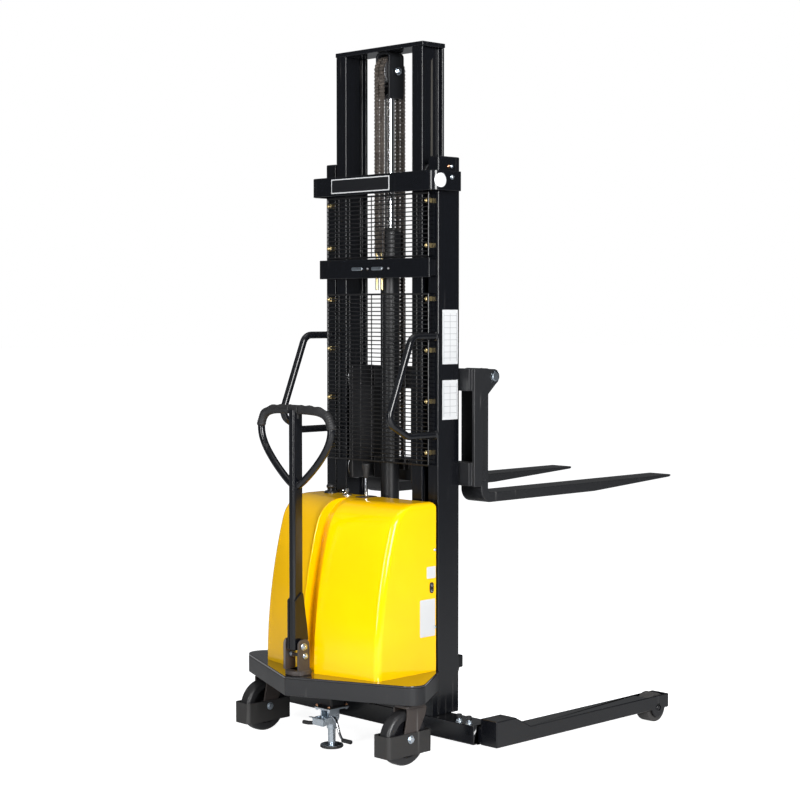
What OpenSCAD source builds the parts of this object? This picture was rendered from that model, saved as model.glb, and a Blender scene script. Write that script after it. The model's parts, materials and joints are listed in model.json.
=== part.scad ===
// Walkie stacker: straddle legs, two-stage mast, chain-lifted forks and a pull handle.
// Millimetres. X is the truck's right, Y points to the fork tips, Z is up, floor at 0.
// Sizes along Y are taken from the operator's face of the outer mast, then centred.

/* [Lift] */
// How far the inner mast stands raised
lift_now = 387.5; // [0:0.5:1000]
// Full travel of the inner mast
lift_travel = 1470; // [1200:5:1500]
// Top of the forks when fully lowered
fork_low = 85; // [80:1:95]

/* [Mast] */
// Width over the outer rails
mast_w = 562; // [520:1:640]
// Height of the lowered mast
mast_h = 2007; // [1900:1:2200]
// Depth of the outer rails
rail_d = 103; // [95:1:120]
// Wall of the outer rails
rail_t = 10; // [8:0.5:11]
// Flange width of the outer rails
rail_flange = 50; // [46:1:56]
// Side gap from outer to inner rails
nest_gap = 16; // [13:1:20]
// Flange width of the inner rails
inner_flange = 50; // [46:1:56]
// Depth of the inner rails
inner_d = 107; // [100:1:112]
// Flange thickness of the inner rails
inner_t = 10; // [8:0.5:11]
// Web thickness of the inner rails
inner_web = 12; // [8:0.5:14]
// Thickness of the inner mast's top plate
top_plate_t = 15; // [10:1:20]
// Width of the mast rollers
roller_w = 17; // [14:1:18]
// Radius of the roller axles
roller_axle_r = 12; // [8:1:16]

/* [Hydraulics] */
// Outer radius of the lift cylinder
cyl_r = 32.5; // [30:0.5:34]
// Wall of the lift cylinder
cyl_wall = 5.5; // [4:0.5:7]
// Radius of the piston rod
piston_rod_r = 17.5; // [14:0.5:20]
// Height of the cylinder's gland
gland_h = 94; // [60:1:100]
// Pitch radius of the chain sheaves
sheave_r = 50; // [46:1:52]
// Width of one chain
chain_w = 20; // [16:0.5:21]
// Thickness of a chain
chain_t = 12; // [8:0.5:13]

/* [Carriage and forks] */
// Length of the forks from the shank's face
fork_l = 1035; // [800:5:1200]
// Width of one fork
fork_w = 100; // [80:1:120]
// Thickness of the forks
fork_t = 35; // [30:1:40]
// Distance between the fork centres
fork_spread = 500; // [430:1:510]
// Width over the carriage's end plates
carriage_w = 668; // [650:1:690]
// Thickness of the carriage's end plates
end_plate_t = 12; // [8:1:14]
// Radius of the fork shaft
fork_shaft_r = 15; // [12:0.5:17]

/* [Legs] */
// Width over the straddle legs
leg_span = 1112; // [1080:1:1200]
// Width of one leg
leg_w = 75; // [70:1:85]
// Height of the leg tube
leg_h = 49; // [45:1:56]
// Underside of the legs above the floor
leg_z = 47; // [44:1:52]
// Front end of the legs
leg_end = 921; // [850:1:1000]
// Wall of the leg tube
leg_wall = 6; // [4:0.5:8]
// Height of the cross tube
cross_h = 66; // [60:1:72]
// Diameter of the load wheels
load_wheel_d = 104; // [98:1:106]
// How far each leg pulls out sideways
leg_pull = 90; // [40:1:110]

/* [Deck and casters] */
// Height of the deck's top above the caster wheels
deck_over_wheel = 90; // [82:1:105]
// Thickness of the deck plate
deck_t = 8; // [6:1:10]
// Height of the deck's skirt
skirt_h = 57; // [45:1:60]
// Wall of the skirt
skirt_t = 6; // [4:0.5:8]
// Foremost point of the deck on the operator's side
deck_nose = 443; // [430:1:480]
// Diameter of the caster wheels
caster_d = 180; // [170:1:184]
// Width of the caster wheels
caster_w = 48; // [40:1:50]
// Distance from the centre line to a caster
caster_x = 355; // [345:1:360]
// Distance of the casters' swivels behind the mast
caster_y = 200; // [190:1:210]
// Trail of the casters
caster_trail = 40; // [30:1:42]
// Wall of a caster's foot guard
guard_t = 5; // [3:0.5:6]

/* [Cover] */
// Width of the cover
cover_w = 570; // [540:1:576]
// Height of the cover's top
cover_top = 844; // [800:1:880]
// Wall of the cover
cover_t = 3; // [2:0.5:4]
// Half width of the groove down the cover's middle
groove_hw = 30; // [24:1:36]
// Depth of that groove
groove_d = 40; // [20:1:44]

/* [Handle] */
// Distance of the handle's pivot from the mast
tiller_y = 392; // [388:1:396]
// Height of the handle's pivot
tiller_pivot_z = 367; // [360:1:380]
// Height of the handle's top
tiller_top = 1172; // [1100:1:1250]
// Width of the handle's loop
loop_w = 377; // [320:1:400]
// Radius of the loop's tube
loop_r = 12.5; // [10:0.5:14]
// Radius of the grab rails' tube
grab_r = 12.5; // [10:0.5:14]

/* [Floor lock] */
// Sideways place of the floor lock
lock_x = 40; // [0:1:60]
// Distance of the floor lock behind the mast
lock_y = 268; // [250:1:280]
// Height of the raised pad above the floor
lock_lift = 10; // [6:1:14]

/* [Guards and rails] */
// Thickness of the guard's wires
wire = 4; // [3:0.5:5]
// Rows of wires in the upper guard
upper_rows = 14; // [8:1:20]
// Rows of wires in the lower guard
lower_rows = 40; // [20:1:48]
// Uprights in each guard
mesh_cols = 9; // [5:1:12]
// Height of the grab rails' lower end
grab_z0 = 1069; // [1000:1:1100]
// Height of the grab rails' upper end
grab_z1 = 1402; // [1350:1:1450]
// How far the grab rails stand out
grab_out = 224; // [200:1:240]

/* [Hidden] */
$fn = 48;

pipe_r = 5;
run_gap = 0.3;      // between curved faces that pass each other
fit_gap = 0.05;     // radial clearance of a shaft in its bore
slide_gap = 0.5;    // between flat sliding faces

fork_top = fork_low + 2 * lift_now;
inner_y0 = -11;
inner_y1 = inner_y0 + inner_d;
inner_yc = (inner_y0 + inner_y1) / 2;
carriage_y0 = max(rail_d + 5, inner_y1 + 12);
shank_y0 = carriage_y0 + 87;
fork_face_y = shank_y0 + fork_t;
shaft_y = shank_y0 + 27;
origin_y = (fork_face_y + fork_l - deck_nose) / 2;

base_z = leg_z + cross_h;
pipe_z = base_z + pipe_r + 1.5;
pipe_y = -60;
outer_x = mast_w / 2;
mouth_x = outer_x - rail_flange;
inner_x1 = mouth_x - nest_gap;
inner_x0 = inner_x1 - inner_flange;
web_x = (inner_x0 + inner_x1) / 2;
inner_bottom = base_z + 12.5 + lift_now;
inner_top = mast_h + lift_now;
outer_pocket_r = (rail_d - 2 * rail_t) / 2 - run_gap;
inner_pocket_r = (inner_d - 2 * inner_t) / 2 - run_gap;
mast_roller_low_z = inner_bottom + 46;
mast_roller_up_z = mast_h - top_plate_t - inner_pocket_r - 6;

cyl_y = 45;
gland_z1 = mast_h - 243;
gland_z0 = gland_z1 - gland_h;
sheave_z = inner_top - top_plate_t - sheave_r - chain_t / 2 - 10;
bracket_t = 8;
bracket_bend = 18;
sheave_pin_r = 10;
bracket_hw = chain_w + 6.5 + bracket_t;
bracket_z0 = sheave_z - 92;
chain_x = chain_w / 2 + 2.5;
chain_front_y = cyl_y - sheave_r;
chain_rear_y = cyl_y + sheave_r;

strap_y = -52;
strap_back = rail_d - 26;
strap_t = 8;
strap_hw = outer_x + 32;
strap_z0 = mast_h - 117;
strap_h = 66;
strap_r = 36;
bar_y = -38;
bar_t = 10;
bar_z0 = mast_h - 407;
bar_h = 66;
bar_hw = outer_x - 6;
stud_r = 6;
stud_z0 = bar_z0 - 40;
stud_z1 = bar_z0 + 90;

leg_x1 = leg_span / 2;
leg_x0 = leg_x1 - leg_w;
leg_axle_r = 8;
cross_y0 = -26;
cross_y1 = 74;
cross_hx = leg_x0 - 9;
beam_y0 = cross_y0 + 23;
beam_y1 = cross_y1 - 11;
beam_z0 = leg_z + 5;
beam_z1 = base_z - 5;
block_z1 = base_z + 23;
slope_y = [92, 168];
clamp_x = [cross_hx - 77, cross_hx - 32];
clamp_y = -14;
clamp_r = 5;
clamp_drop = 8;
axle_y = leg_end - 61;
fork_cheek_y = axle_y - load_wheel_d / 2 - 14;

bar_up_z0 = fork_top + 355;
bar_up_h = 76;
bar_low_z0 = fork_top + 31;
bar_low_h = 79;
shaft_z = fork_top + 402;
carriage_hx = carriage_w / 2 - end_plate_t;
side_plate_t = 14;
side_plate_x1 = inner_x0 - 5;
roller_up_z = fork_top + 390;
roller_low_z = fork_top + 75;

deck_top = caster_d + deck_over_wheel;
deck_under = deck_top - deck_t;
skirt_z0 = deck_top - skirt_h - deck_t;
corner_r = 54;
corner_x = 370;
corner_y = -deck_nose + 221;
deck_back_x = 292;
deck_back_y = -4;
pivot_y = -caster_y;
wheel_y = -caster_y - caster_trail;
wheel_z = caster_d / 2;
stem_r = 12;
crown_z0 = caster_d + 8;
crown_z1 = crown_z0 + 10;
fork_plate_t = 6;
wheel_gap = 3.5;
guard_l = caster_d + 2 * (guard_t + 5);
guard_w = caster_w + 2 * (guard_t + fork_plate_t + wheel_gap);
guard_z0 = wheel_z - 53;
guard_h = 73;

cover_back = -14;
cover_skew = 12.8;
cover_nose = 350;
cover_corner_r = 24;
// The front leans back on a long arc and rolls over into the flat top
cover_bow = 1760;
cover_roll = 113;
roll_turn = asin((cover_top - cover_roll - deck_top) / (cover_bow - cover_roll));
disc_r = 44;
yoke_stem_r = 14;
yoke_pin_r = 8;

module at_datum() translate([0, -origin_y, 0]) children();
module block(x0, x1, y0, y1, z0, z1)
  translate([x0, y0, z0]) cube([x1 - x0, y1 - y0, z1 - z0]);
module rod_x(x0, x1, y, z, r) translate([x0, y, z]) rotate([0, 90, 0]) cylinder(h = x1 - x0, r = r);
module rod_y(x, y0, y1, z, r) translate([x, y1, z]) rotate([90, 0, 0]) cylinder(h = y1 - y0, r = r);
module rod_z(x, y, z0, z1, r) translate([x, y, z0]) cylinder(h = z1 - z0, r = r);
module both_sides() { children(); mirror([1, 0, 0]) children(); }
// Turns a flat shape drawn in Y and Z into a slab between x0 and x1
module slab_x(x0, x1) translate([x0, 0, 0]) rotate([90, 0, 90]) linear_extrude(x1 - x0) children();

function arc(cx, cy, r, a0, a1, n) =
  [for (i = [0:n]) [cx + r * cos(a0 + (a1 - a0) * i / n), cy + r * sin(a0 + (a1 - a0) * i / n)]];
function unit(v) = v / norm(v);
function turn(a, b, c) = let (u = unit(b - a), w = unit(c - b)) atan2(u[0] * w[1] - u[1] * w[0], u * w);
function setback(a, b, c, r) = r * tan(abs(turn(a, b, c)) / 2);

// A round tube in the XY plane along points p, with a bend of radius bend at each inner point.
// The bends are a hair thinner than the straights and run a little way into their ends.
bend_lap = 0.6;
bend_thin = 0.15;
module bent_rod(p, bend, r) {
  n = len(p);
  for (i = [0:n - 2]) {
    s0 = i == 0 ? 0 : setback(p[i - 1], p[i], p[i + 1], bend) - bend_lap;
    s1 = i == n - 2 ? 0 : setback(p[i], p[i + 1], p[i + 2], bend) - bend_lap;
    d = unit(p[i + 1] - p[i]);
    a = p[i] + d * s0;
    translate([a[0], a[1], 0]) rotate([0, 0, atan2(d[1], d[0])]) rotate([0, 90, 0])
      cylinder(h = norm(p[i + 1] - p[i]) - s0 - s1, r = r);
  }
  for (i = [1:1:n - 2]) {
    t = turn(p[i - 1], p[i], p[i + 1]);
    d = unit(p[i] - p[i - 1]);
    side = t > 0 ? 1 : -1;
    start = p[i] - d * setback(p[i - 1], p[i], p[i + 1], bend);
    c = start + side * bend * [-d[1], d[0]];
    a0 = atan2(start[1] - c[1], start[0] - c[0]);
    translate([c[0], c[1], 0]) rotate([0, 0, t > 0 ? a0 : a0 + t])
      rotate_extrude(angle = abs(t)) translate([bend, 0]) circle(r - bend_thin);
  }
}

module cross_tube() color("#16171a") at_datum() difference() {
  block(-cross_hx, cross_hx, cross_y0, cross_y1, leg_z, base_z);
  block(-cross_hx - 1, cross_hx + 1, beam_y0 - slide_gap, beam_y1 + slide_gap,
    beam_z0 - slide_gap, beam_z1 + slide_gap);
  both_sides() for (x = clamp_x) rod_z(x, clamp_y, base_z - clamp_drop, base_z + 1, clamp_r + fit_gap);
}

module clamp_bolts() color("#c8c4b0") at_datum() both_sides() {
  for (x = clamp_x) {
    rod_z(x, clamp_y, base_z - clamp_drop, base_z + 16, clamp_r);
    translate([x, clamp_y, base_z]) cylinder(h = 8, r = clamp_r + 4, $fn = 6);
    rod_z(x, clamp_y, base_z + 16, base_z + 27, clamp_r + 3);
  }
}

module bulkhead() color("#16171a") at_datum() {
  difference() {
    block(-outer_x, outer_x, cross_y0, -16, base_z, deck_under);
    rod_y(0, cross_y0 - 1, -15, pipe_z, pipe_r + 0.2);
  }
  both_sides() block(mouth_x + 4, outer_x, -16, 0, base_z, deck_under);
}

// One outer rail: a channel that opens towards the middle
module outer_rail() {
  difference() {
    block(mouth_x, outer_x, 0, rail_d, base_z, mast_h);
    block(mouth_x - 1, outer_x - rail_t, rail_t, rail_d - rail_t, base_z - 1, mast_h + 1);
  }
  rod_x(inner_x1 - roller_w - 1, outer_x - rail_t, inner_yc, mast_roller_up_z, roller_axle_r);
}
module outer_mast_right() color("#16171a") at_datum() outer_rail();
module outer_mast_left() color("#16171a") at_datum() mirror([1, 0, 0]) outer_rail();

function strap_path(o) = concat(
  [[-strap_hw + o, strap_back]], arc(-strap_hw + strap_r, strap_y + strap_r, strap_r - o, 180, 270, 12),
  arc(strap_hw - strap_r, strap_y + strap_r, strap_r - o, 270, 360, 12), [[strap_hw - o, strap_back]]);
module top_strap() color("#16171a") at_datum() {
  translate([0, 0, strap_z0]) linear_extrude(strap_h) difference() {
    polygon(strap_path(0));
    polygon(concat(strap_path(strap_t), [[strap_hw - strap_t, 200], [-strap_hw + strap_t, 200]]));
  }
  both_sides() block(outer_x, strap_hw - strap_t, 10, strap_back - 7, strap_z0 + 6, strap_z0 + strap_h - 6);
}

module mid_bar() color("#16171a") at_datum() {
  block(-bar_hw, bar_hw, bar_y, bar_y + bar_t, bar_z0, bar_z0 + bar_h);
  both_sides() block(mouth_x + 6, bar_hw - 4, bar_y + bar_t, 0, bar_z0 + 6, bar_z0 + bar_h - 6);
  difference() {
    block(-40, 40, bar_y + bar_t, 2, bar_z0 + 24, bar_z0 + 44);
    for (x = [-chain_x, chain_x]) rod_z(x, chain_front_y, bar_z0, bar_z0 + bar_h, stud_r + 0.2);
  }
}

module chain_studs() color("#c8c4b0") at_datum() for (x = [-chain_x, chain_x]) {
  rod_z(x, chain_front_y, stud_z0, stud_z1, stud_r - 0.5);
  for (z = [bar_z0 + 14, bar_z0 + 44])
    translate([x, chain_front_y, z]) cylinder(h = 10, r = stud_r + 2, $fn = 6);
}

wire_y0 = -18 - wire;
mesh_hw = outer_x - 28;
upper_z0 = bar_z0 + bar_h + 6;
upper_z1 = strap_z0 - 6;
lower_z0 = cover_top + 121;
lower_z1 = bar_z0 - 55;
module wire_mesh(z0, z1, rows, cols) color("#202124") at_datum()
  translate([0, wire_y0 + wire, z0]) rotate([90, 0, 0]) linear_extrude(wire) {
    for (i = [0:rows]) translate([-mesh_hw, (z1 - z0 - wire) * i / rows]) square([2 * mesh_hw, wire]);
    for (i = [0:cols]) translate([-mesh_hw + (2 * mesh_hw - wire) * i / cols, 0]) square([wire, z1 - z0]);
  }
module guard_upper() wire_mesh(upper_z0, upper_z1, upper_rows, mesh_cols);
module guard_lower() wire_mesh(lower_z0, lower_z1, lower_rows, mesh_cols);

module guard_clips() color("#b9a24a") at_datum() both_sides()
  for (z = concat([upper_z0 + 28, upper_z1 - 34],
    [for (i = [0:3]) lower_z0 + 35 + (lower_z1 - lower_z0 - 60) * i / 3]))
    block(mouth_x + 6, mesh_hw, wire_y0 + wire, 0, z, z + 16);

grab_bend = 40;
grab_path = [[0, grab_z1], [-grab_out / 2, grab_z1], [-grab_out, grab_z0 + 51],
  [-grab_out + 92, grab_z0], [0, grab_z0]];
module grab_rail(x) color("#141416") at_datum()
  translate([x, 0, 0]) rotate([90, 0, 90]) bent_rod(grab_path, grab_bend, grab_r);
grab_x = outer_x - grab_r - 0.5;
module grab_rail_right() grab_rail(grab_x);
module grab_rail_left() grab_rail(-grab_x);

module name_plates() color("#e9e9e6") at_datum() {
  for (z = [[1307, 1491], [1119, 1253]]) block(outer_x, outer_x + 0.8, 20, rail_d - 9, z[0], z[1]);
  block(-195, 98, strap_y - 1, strap_y, strap_z0 + 8, strap_z0 + strap_h - 8);
}

piston_h = 40;
rod_z0 = inner_bottom + 17;
module cylinder_tube() color("#101113") at_datum() difference() {
  rod_z(0, cyl_y, base_z, gland_z0, cyl_r);
  rod_z(0, cyl_y, base_z + 15, gland_z0 + 1, cyl_r - cyl_wall);
}
module cylinder_gland() color("#101113") at_datum() difference() {
  rod_z(0, cyl_y, gland_z0, gland_z1, cyl_r + 5);
  rod_z(0, cyl_y, gland_z0 - 1, gland_z1 + 1, piston_rod_r + fit_gap);
}
module piston_rod() color("#c9ccd0") at_datum() {
  rod_z(0, cyl_y, rod_z0, bracket_z0, piston_rod_r);
  rod_z(0, cyl_y, rod_z0, rod_z0 + piston_h, cyl_r - cyl_wall - fit_gap);
}

function deck_side(o) = concat([[0, -deck_nose + o * 1.085]],
  arc(corner_x, corner_y, corner_r - o, -67, 36, 14), [[deck_back_x - o, deck_back_y]]);
function deck_outline(o) = let (s = deck_side(o))
  concat(s, [for (i = [len(s) - 1:-1:1]) [-s[i][0], s[i][1]]]);
module deck_plate() color("#1b1c1e") at_datum() difference() {
  translate([0, 0, deck_under]) linear_extrude(deck_t) polygon(deck_outline(0));
  rod_z(0, -tiller_y + 10, deck_under - 1, deck_top + 1, yoke_stem_r + fit_gap);
  rod_z(0, pipe_y, deck_under - 1, deck_top + 1, pipe_r + 0.2);
  block(-inner_x1 - 8, inner_x1 + 8, inner_y0 - 5, 1, deck_under - 1, deck_top + 1);
}
module deck_skirt() color("#2b2c2f") at_datum()
  translate([0, 0, skirt_z0]) linear_extrude(deck_under - skirt_z0) difference() {
    polygon(deck_outline(0));
    polygon(deck_outline(skirt_t));
    translate([-300, cross_y0]) square([600, 40]);
  }
module deck_rails() color("#16171a") at_datum() {
  both_sides() {
    block(140, 190, -deck_nose + 130, cross_y0, skirt_z0 + 8, deck_under);
    difference() {
      rod_z(caster_x, pivot_y, crown_z1 + run_gap, deck_under, 38);
      rod_z(caster_x, pivot_y, crown_z1 - 1, deck_under - 12, stem_r + fit_gap);
    }
  }
  block(-140, 140, -300, -240, skirt_z0 + 8, deck_under);
}

function cover_plan(i) = let (hw = cover_w / 2 - i, r = cover_corner_r, c = cover_w / 2 - r,
    cy = -cover_nose + tan(cover_skew) * c + r / cos(cover_skew), sweep = 90 - cover_skew)
  concat([[hw, cover_back]], arc(c, cy, r - i, 0, -sweep, 5), [[0, -cover_nose + i / cos(cover_skew)]],
    arc(-c, cy, r - i, sweep - 180, -180, 5), [[-hw, cover_back]]);
function cover_side(i) = concat(arc(cover_bow, deck_top, cover_bow - i, 180, 180 - roll_turn, 12),
  arc(cover_bow - (cover_bow - cover_roll) * cos(roll_turn), cover_top - cover_roll, cover_roll - i,
    180 - roll_turn, 90, 10),
  [[420, cover_top - i], [420, deck_top]]);
module cover_half(i) translate([0, -cover_nose, 0]) rotate([0, 0, cover_skew])
  slab_x(-400, 400) polygon(cover_side(i));
module cover_bulk(i) intersection() {
  translate([0, 0, deck_top]) linear_extrude(cover_top - deck_top) polygon(cover_plan(i));
  cover_half(i);
  mirror([1, 0, 0]) cover_half(i);
}
module cover_solid(i) difference() {
  cover_bulk(i);
  difference() {
    block(-groove_hw - i, groove_hw + i, -500, -120, deck_top - 1, cover_top + 1);
    translate([0, groove_d, 0]) cover_half(i);
  }
}
lever_x = 0;
lever_y = -70;
lever_z = cover_top - 44;
lever_pin_r = 4;
boot_z = cover_top + 66;
socket_r = 7;
panel_hole_r = 11;
key_x = -85;
key_y = -80;
stop_x = -190;
stop_y = -62;
module cover() color("#f7c500") at_datum() difference() {
  cover_solid(0);
  translate([0, 0, -1]) cover_solid(cover_t);
  block(-8, 8, lever_y - 30, lever_y + 30, cover_top - 10, cover_top + 1);
  rod_z(key_x, key_y, cover_top - 10, cover_top + 1, panel_hole_r);
  rod_z(stop_x, stop_y, cover_top - 10, cover_top + 1, panel_hole_r);
}

module pump_motor() color("#2a2b2e") at_datum() {
  block(-60, 60, -150, -40, deck_top, deck_top + 90);
  rod_z(0, -95, deck_top + 90, lever_z - 180, 55);
  block(-45, 45, -110, -50, lever_z - 180, lever_z - 16);
  difference() {
    both_sides() block(8, 16, lever_y - 12, lever_y + 12, lever_z - 17, lever_z + 12);
    rod_x(-20, 20, lever_y, lever_z, lever_pin_r + fit_gap);
  }
}
module oil_tank() color("#1d1e20") at_datum() block(85, 255, -200, -30, deck_top, cover_top - 144);
module battery() color("#26282c") at_datum() block(-255, -85, -200, -30, deck_top, deck_top + 250);
module pressure_pipe() color("#1a1a1c") at_datum()
  rotate([90, 0, 90]) bent_rod([[cyl_y - cyl_r, pipe_z], [pipe_y, pipe_z], [pipe_y, deck_top]], 15, pipe_r);

module panel_sockets() color("#3a3b3e") at_datum() {
  for (p = [[key_x, key_y, 16, 4], [stop_x, stop_y, 22, 9]]) difference() {
    union() {
      rod_z(p[0], p[1], cover_top, cover_top + p[3], p[2]);
      rod_z(p[0], p[1], cover_top - 40, cover_top, panel_hole_r - 0.5);
    }
    rod_z(p[0], p[1], cover_top - 30, cover_top + 20, socket_r);
  }
}
module switch_key() color("#c9ccd0") at_datum() {
  rod_z(key_x, key_y, cover_top - 29.5, cover_top + 6, socket_r - fit_gap);
  block(key_x - 1.2, key_x + 1.2, key_y - 4, key_y + 4, cover_top + 6, cover_top + 12);
  block(key_x - 1.2, key_x + 1.2, key_y - 9, key_y + 9, cover_top + 10, cover_top + 26);
}
module stop_button() color("#1a1a1c") at_datum() {
  rod_z(stop_x, stop_y, cover_top - 20, cover_top + 16, socket_r - fit_gap);
  rod_z(stop_x, stop_y, cover_top + 16, cover_top + 28, 18);
}
module valve_lever() color("#1a1a1c") at_datum() {
  rod_z(lever_x, lever_y, lever_z - 7, boot_z, 5);
  rod_x(-16, 16, lever_y, lever_z, lever_pin_r);
  translate([lever_x, lever_y, boot_z]) cylinder(h = 50, r1 = 8, r2 = 15);
}

// One inner rail: an I section
module inner_rail() {
  for (y = [inner_y0, inner_y1 - inner_t])
    block(inner_x0, inner_x1, y, y + inner_t, inner_bottom, inner_top - top_plate_t);
  block(web_x - inner_web / 2, web_x + inner_web / 2, inner_y0 + inner_t, inner_y1 - inner_t,
    inner_bottom, inner_top - top_plate_t);
  rod_x(web_x + inner_web / 2, outer_x - rail_t - 3, rail_d / 2, mast_roller_low_z, roller_axle_r);
}
module inner_mast_right() color("#17181b") at_datum() inner_rail();
module inner_mast_left() color("#17181b") at_datum() mirror([1, 0, 0]) inner_rail();
module inner_top_plate() color("#17181b") at_datum()
  block(-inner_x1 - 3, inner_x1 + 3, inner_y0 - 1, inner_y1 + 1, inner_top - top_plate_t, inner_top);
tie_t = 7;
module inner_tie() color("#17181b") at_datum()
  translate([0, 0, inner_bottom]) linear_extrude(60) {
    for (s = [-1, 1]) polygon([[s * inner_x0, inner_y0], [s * 75, inner_y0], [s * 55, 3], [s * 40, 3],
      [s * 40, 3 + tie_t], [s * 60, 3 + tie_t], [s * 80, inner_y0 + tie_t],
      [s * inner_x0, inner_y0 + tie_t]]);
    translate([-40, 3]) square([80, tie_t]);
  }

module bracket_outline(o) {
  h = inner_top - top_plate_t - bracket_z0;
  hw = bracket_hw - o;
  r = bracket_bend - o;
  translate([-hw, o]) square([2 * hw, h - o - bracket_bend]);
  translate([-hw + r, o]) square([2 * (hw - r), h - 2 * o]);
  for (s = [-1, 1]) translate([s * (hw - r), h - bracket_bend]) circle(r);
}
module sheave_bracket() color("#1a1b1d") at_datum() {
  translate([0, cyl_y + 35, bracket_z0]) rotate([90, 0, 0]) linear_extrude(70) difference() {
    bracket_outline(0);
    bracket_outline(bracket_t);
  }
  rod_x(-bracket_hw - 7, bracket_hw + 7, cyl_y, sheave_z, sheave_pin_r);
}
sheave_rim = chain_w / 2 + 1.5;
sheave_floor = sheave_r - chain_t / 2 - run_gap;
module chain_sheaves() color("#3d3e42") at_datum() for (s = [-1, 1])
  translate([s * chain_x, cyl_y, sheave_z]) rotate([0, 90, 0]) rotate_extrude()
    polygon([[sheave_pin_r + fit_gap, -sheave_rim], [sheave_r - 2, -sheave_rim],
      [sheave_r - 2, -sheave_rim + 1.2], [sheave_floor, -sheave_rim + 1.2],
      [sheave_floor, sheave_rim - 1.2], [sheave_r - 2, sheave_rim - 1.2],
      [sheave_r - 2, sheave_rim], [sheave_pin_r + fit_gap, sheave_rim]]);
module chain_wraps() color("#8b8577") at_datum() for (s = [-1, 1])
  translate([s * chain_x, cyl_y, sheave_z]) rotate([90, 0, 90]) rotate_extrude(angle = 180)
    translate([sheave_r - chain_t / 2, -chain_w / 2 + 1.5]) square([chain_t, chain_w - 3]);
link_hw = chain_w / 2 - 1.5;
module chain_run(y, z0, z1) for (s = [-1, 1])
  block(s * chain_x - link_hw, s * chain_x + link_hw, y - chain_t / 2, y + chain_t / 2, z0, z1);
anchor_z = bar_low_z0 + 74;
module chain_front_runs() color("#8b8577") at_datum() chain_run(chain_front_y, stud_z1, sheave_z);
module chain_rear_runs() color("#8b8577") at_datum() chain_run(chain_rear_y, anchor_z + 30, sheave_z);

module roller(x, y, z, r) difference() {
  rod_x(x - roller_w / 2, x + roller_w / 2, y, z, r);
  rod_x(x - roller_w, x + roller_w, y, z, roller_axle_r + fit_gap);
}
module mast_rollers_upper() color("#5a5c60") at_datum() both_sides()
  roller(inner_x1 - roller_w / 2 - 0.5, inner_yc, mast_roller_up_z, inner_pocket_r);
module mast_rollers_lower() color("#5a5c60") at_datum() both_sides()
  roller(outer_x - rail_t - 5 - roller_w / 2, rail_d / 2, mast_roller_low_z, outer_pocket_r);
carriage_roller_x = web_x - inner_web / 2 - 1 - roller_w / 2;
module carriage_rollers_upper() color("#5a5c60") at_datum() both_sides()
  roller(carriage_roller_x, inner_yc, roller_up_z, inner_pocket_r);
module carriage_rollers_lower() color("#5a5c60") at_datum() both_sides()
  roller(carriage_roller_x, inner_yc, roller_low_z, inner_pocket_r);

module end_plate() slab_x(carriage_hx, carriage_hx + end_plate_t) difference() {
  union() {
    translate([carriage_y0 + 14, bar_low_z0 - 3]) square([41, bar_up_z0 + bar_up_h - bar_low_z0 + 3]);
    translate([shaft_y, shaft_z]) circle(26);
    polygon([[carriage_y0 + 50, bar_up_z0 + bar_up_h], [shaft_y, shaft_z + 26],
      [shaft_y + 22, shaft_z - 13.8], [carriage_y0 + 50, shaft_z - 90]]);
  }
  translate([shaft_y, shaft_z]) circle(fork_shaft_r + 0.2);
}
module carriage_frame() color("#191a1c") at_datum() {
  block(-carriage_hx, carriage_hx, carriage_y0, carriage_y0 + 32, bar_up_z0, bar_up_z0 + bar_up_h);
  block(-carriage_hx, carriage_hx, carriage_y0, carriage_y0 + 55, bar_low_z0, bar_low_z0 + bar_low_h);
  block(-carriage_hx + 2, carriage_hx - 2, carriage_y0 + 55, shank_y0 - run_gap,
    bar_low_z0 + 14, bar_low_z0 + 54);
  both_sides() {
    end_plate();
    block(side_plate_x1 - side_plate_t, side_plate_x1, 2, carriage_y0, fork_top + 36, fork_top + 436);
    for (z = [roller_up_z, roller_low_z])
      rod_x(side_plate_x1, web_x - inner_web / 2 - 1, inner_yc, z, roller_axle_r);
  }
  block(-30, 30, chain_rear_y - 9, carriage_y0, bar_low_z0 + 39, anchor_z);
  for (s = [-1, 1]) rod_z(s * chain_x, chain_rear_y, anchor_z, anchor_z + 30, stud_r);
}
module fork_shaft() color("#c9ccd0") at_datum() {
  rod_x(-carriage_hx - end_plate_t - 2, carriage_hx + end_plate_t + 2, shaft_y, shaft_z, fork_shaft_r);
  both_sides() translate([carriage_hx + end_plate_t + 2, shaft_y, shaft_z]) rotate([0, 90, 0])
    cylinder(h = 5, r = fork_shaft_r + 2, $fn = 6);
}

heel_r = 46;
tip_t = 10;
// Side outline of a fork: blade, rounded heel and shank
function fork_outline() = concat(
  [[fork_face_y + 12, fork_top], [fork_face_y + fork_l - 6, fork_top], [fork_face_y + fork_l, fork_top - 4],
   [fork_face_y + fork_l - 10, fork_top - tip_t], [fork_face_y + fork_l - 460, fork_top - fork_t]],
  arc(shank_y0 + heel_r, fork_top - fork_t + heel_r, heel_r, 270, 180, 14),
  [[shank_y0, shaft_z - 20], [fork_face_y, shaft_z - 20]],
  arc(fork_face_y + 12, fork_top + 12, 12, 180, 270, 4));
module fork(x) color("#202124") at_datum() difference() {
  slab_x(x - fork_w / 2, x + fork_w / 2) difference() {
    union() {
      polygon(fork_outline());
      translate([shaft_y, shaft_z]) circle(fork_shaft_r + 13);
    }
    translate([shaft_y, shaft_z]) circle(fork_shaft_r + fit_gap);
  }
  for (s = [-1, 1]) translate([x + s * fork_w / 2, fork_face_y + fork_l + 20, fork_top]) rotate([0, 0, s * 8])
    translate([-40, -260, -60]) translate([s * 40, 0, 0]) cube([80, 300, 100]);
}
module fork_right() fork(fork_spread / 2);
module fork_left() fork(-fork_spread / 2);

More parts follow.
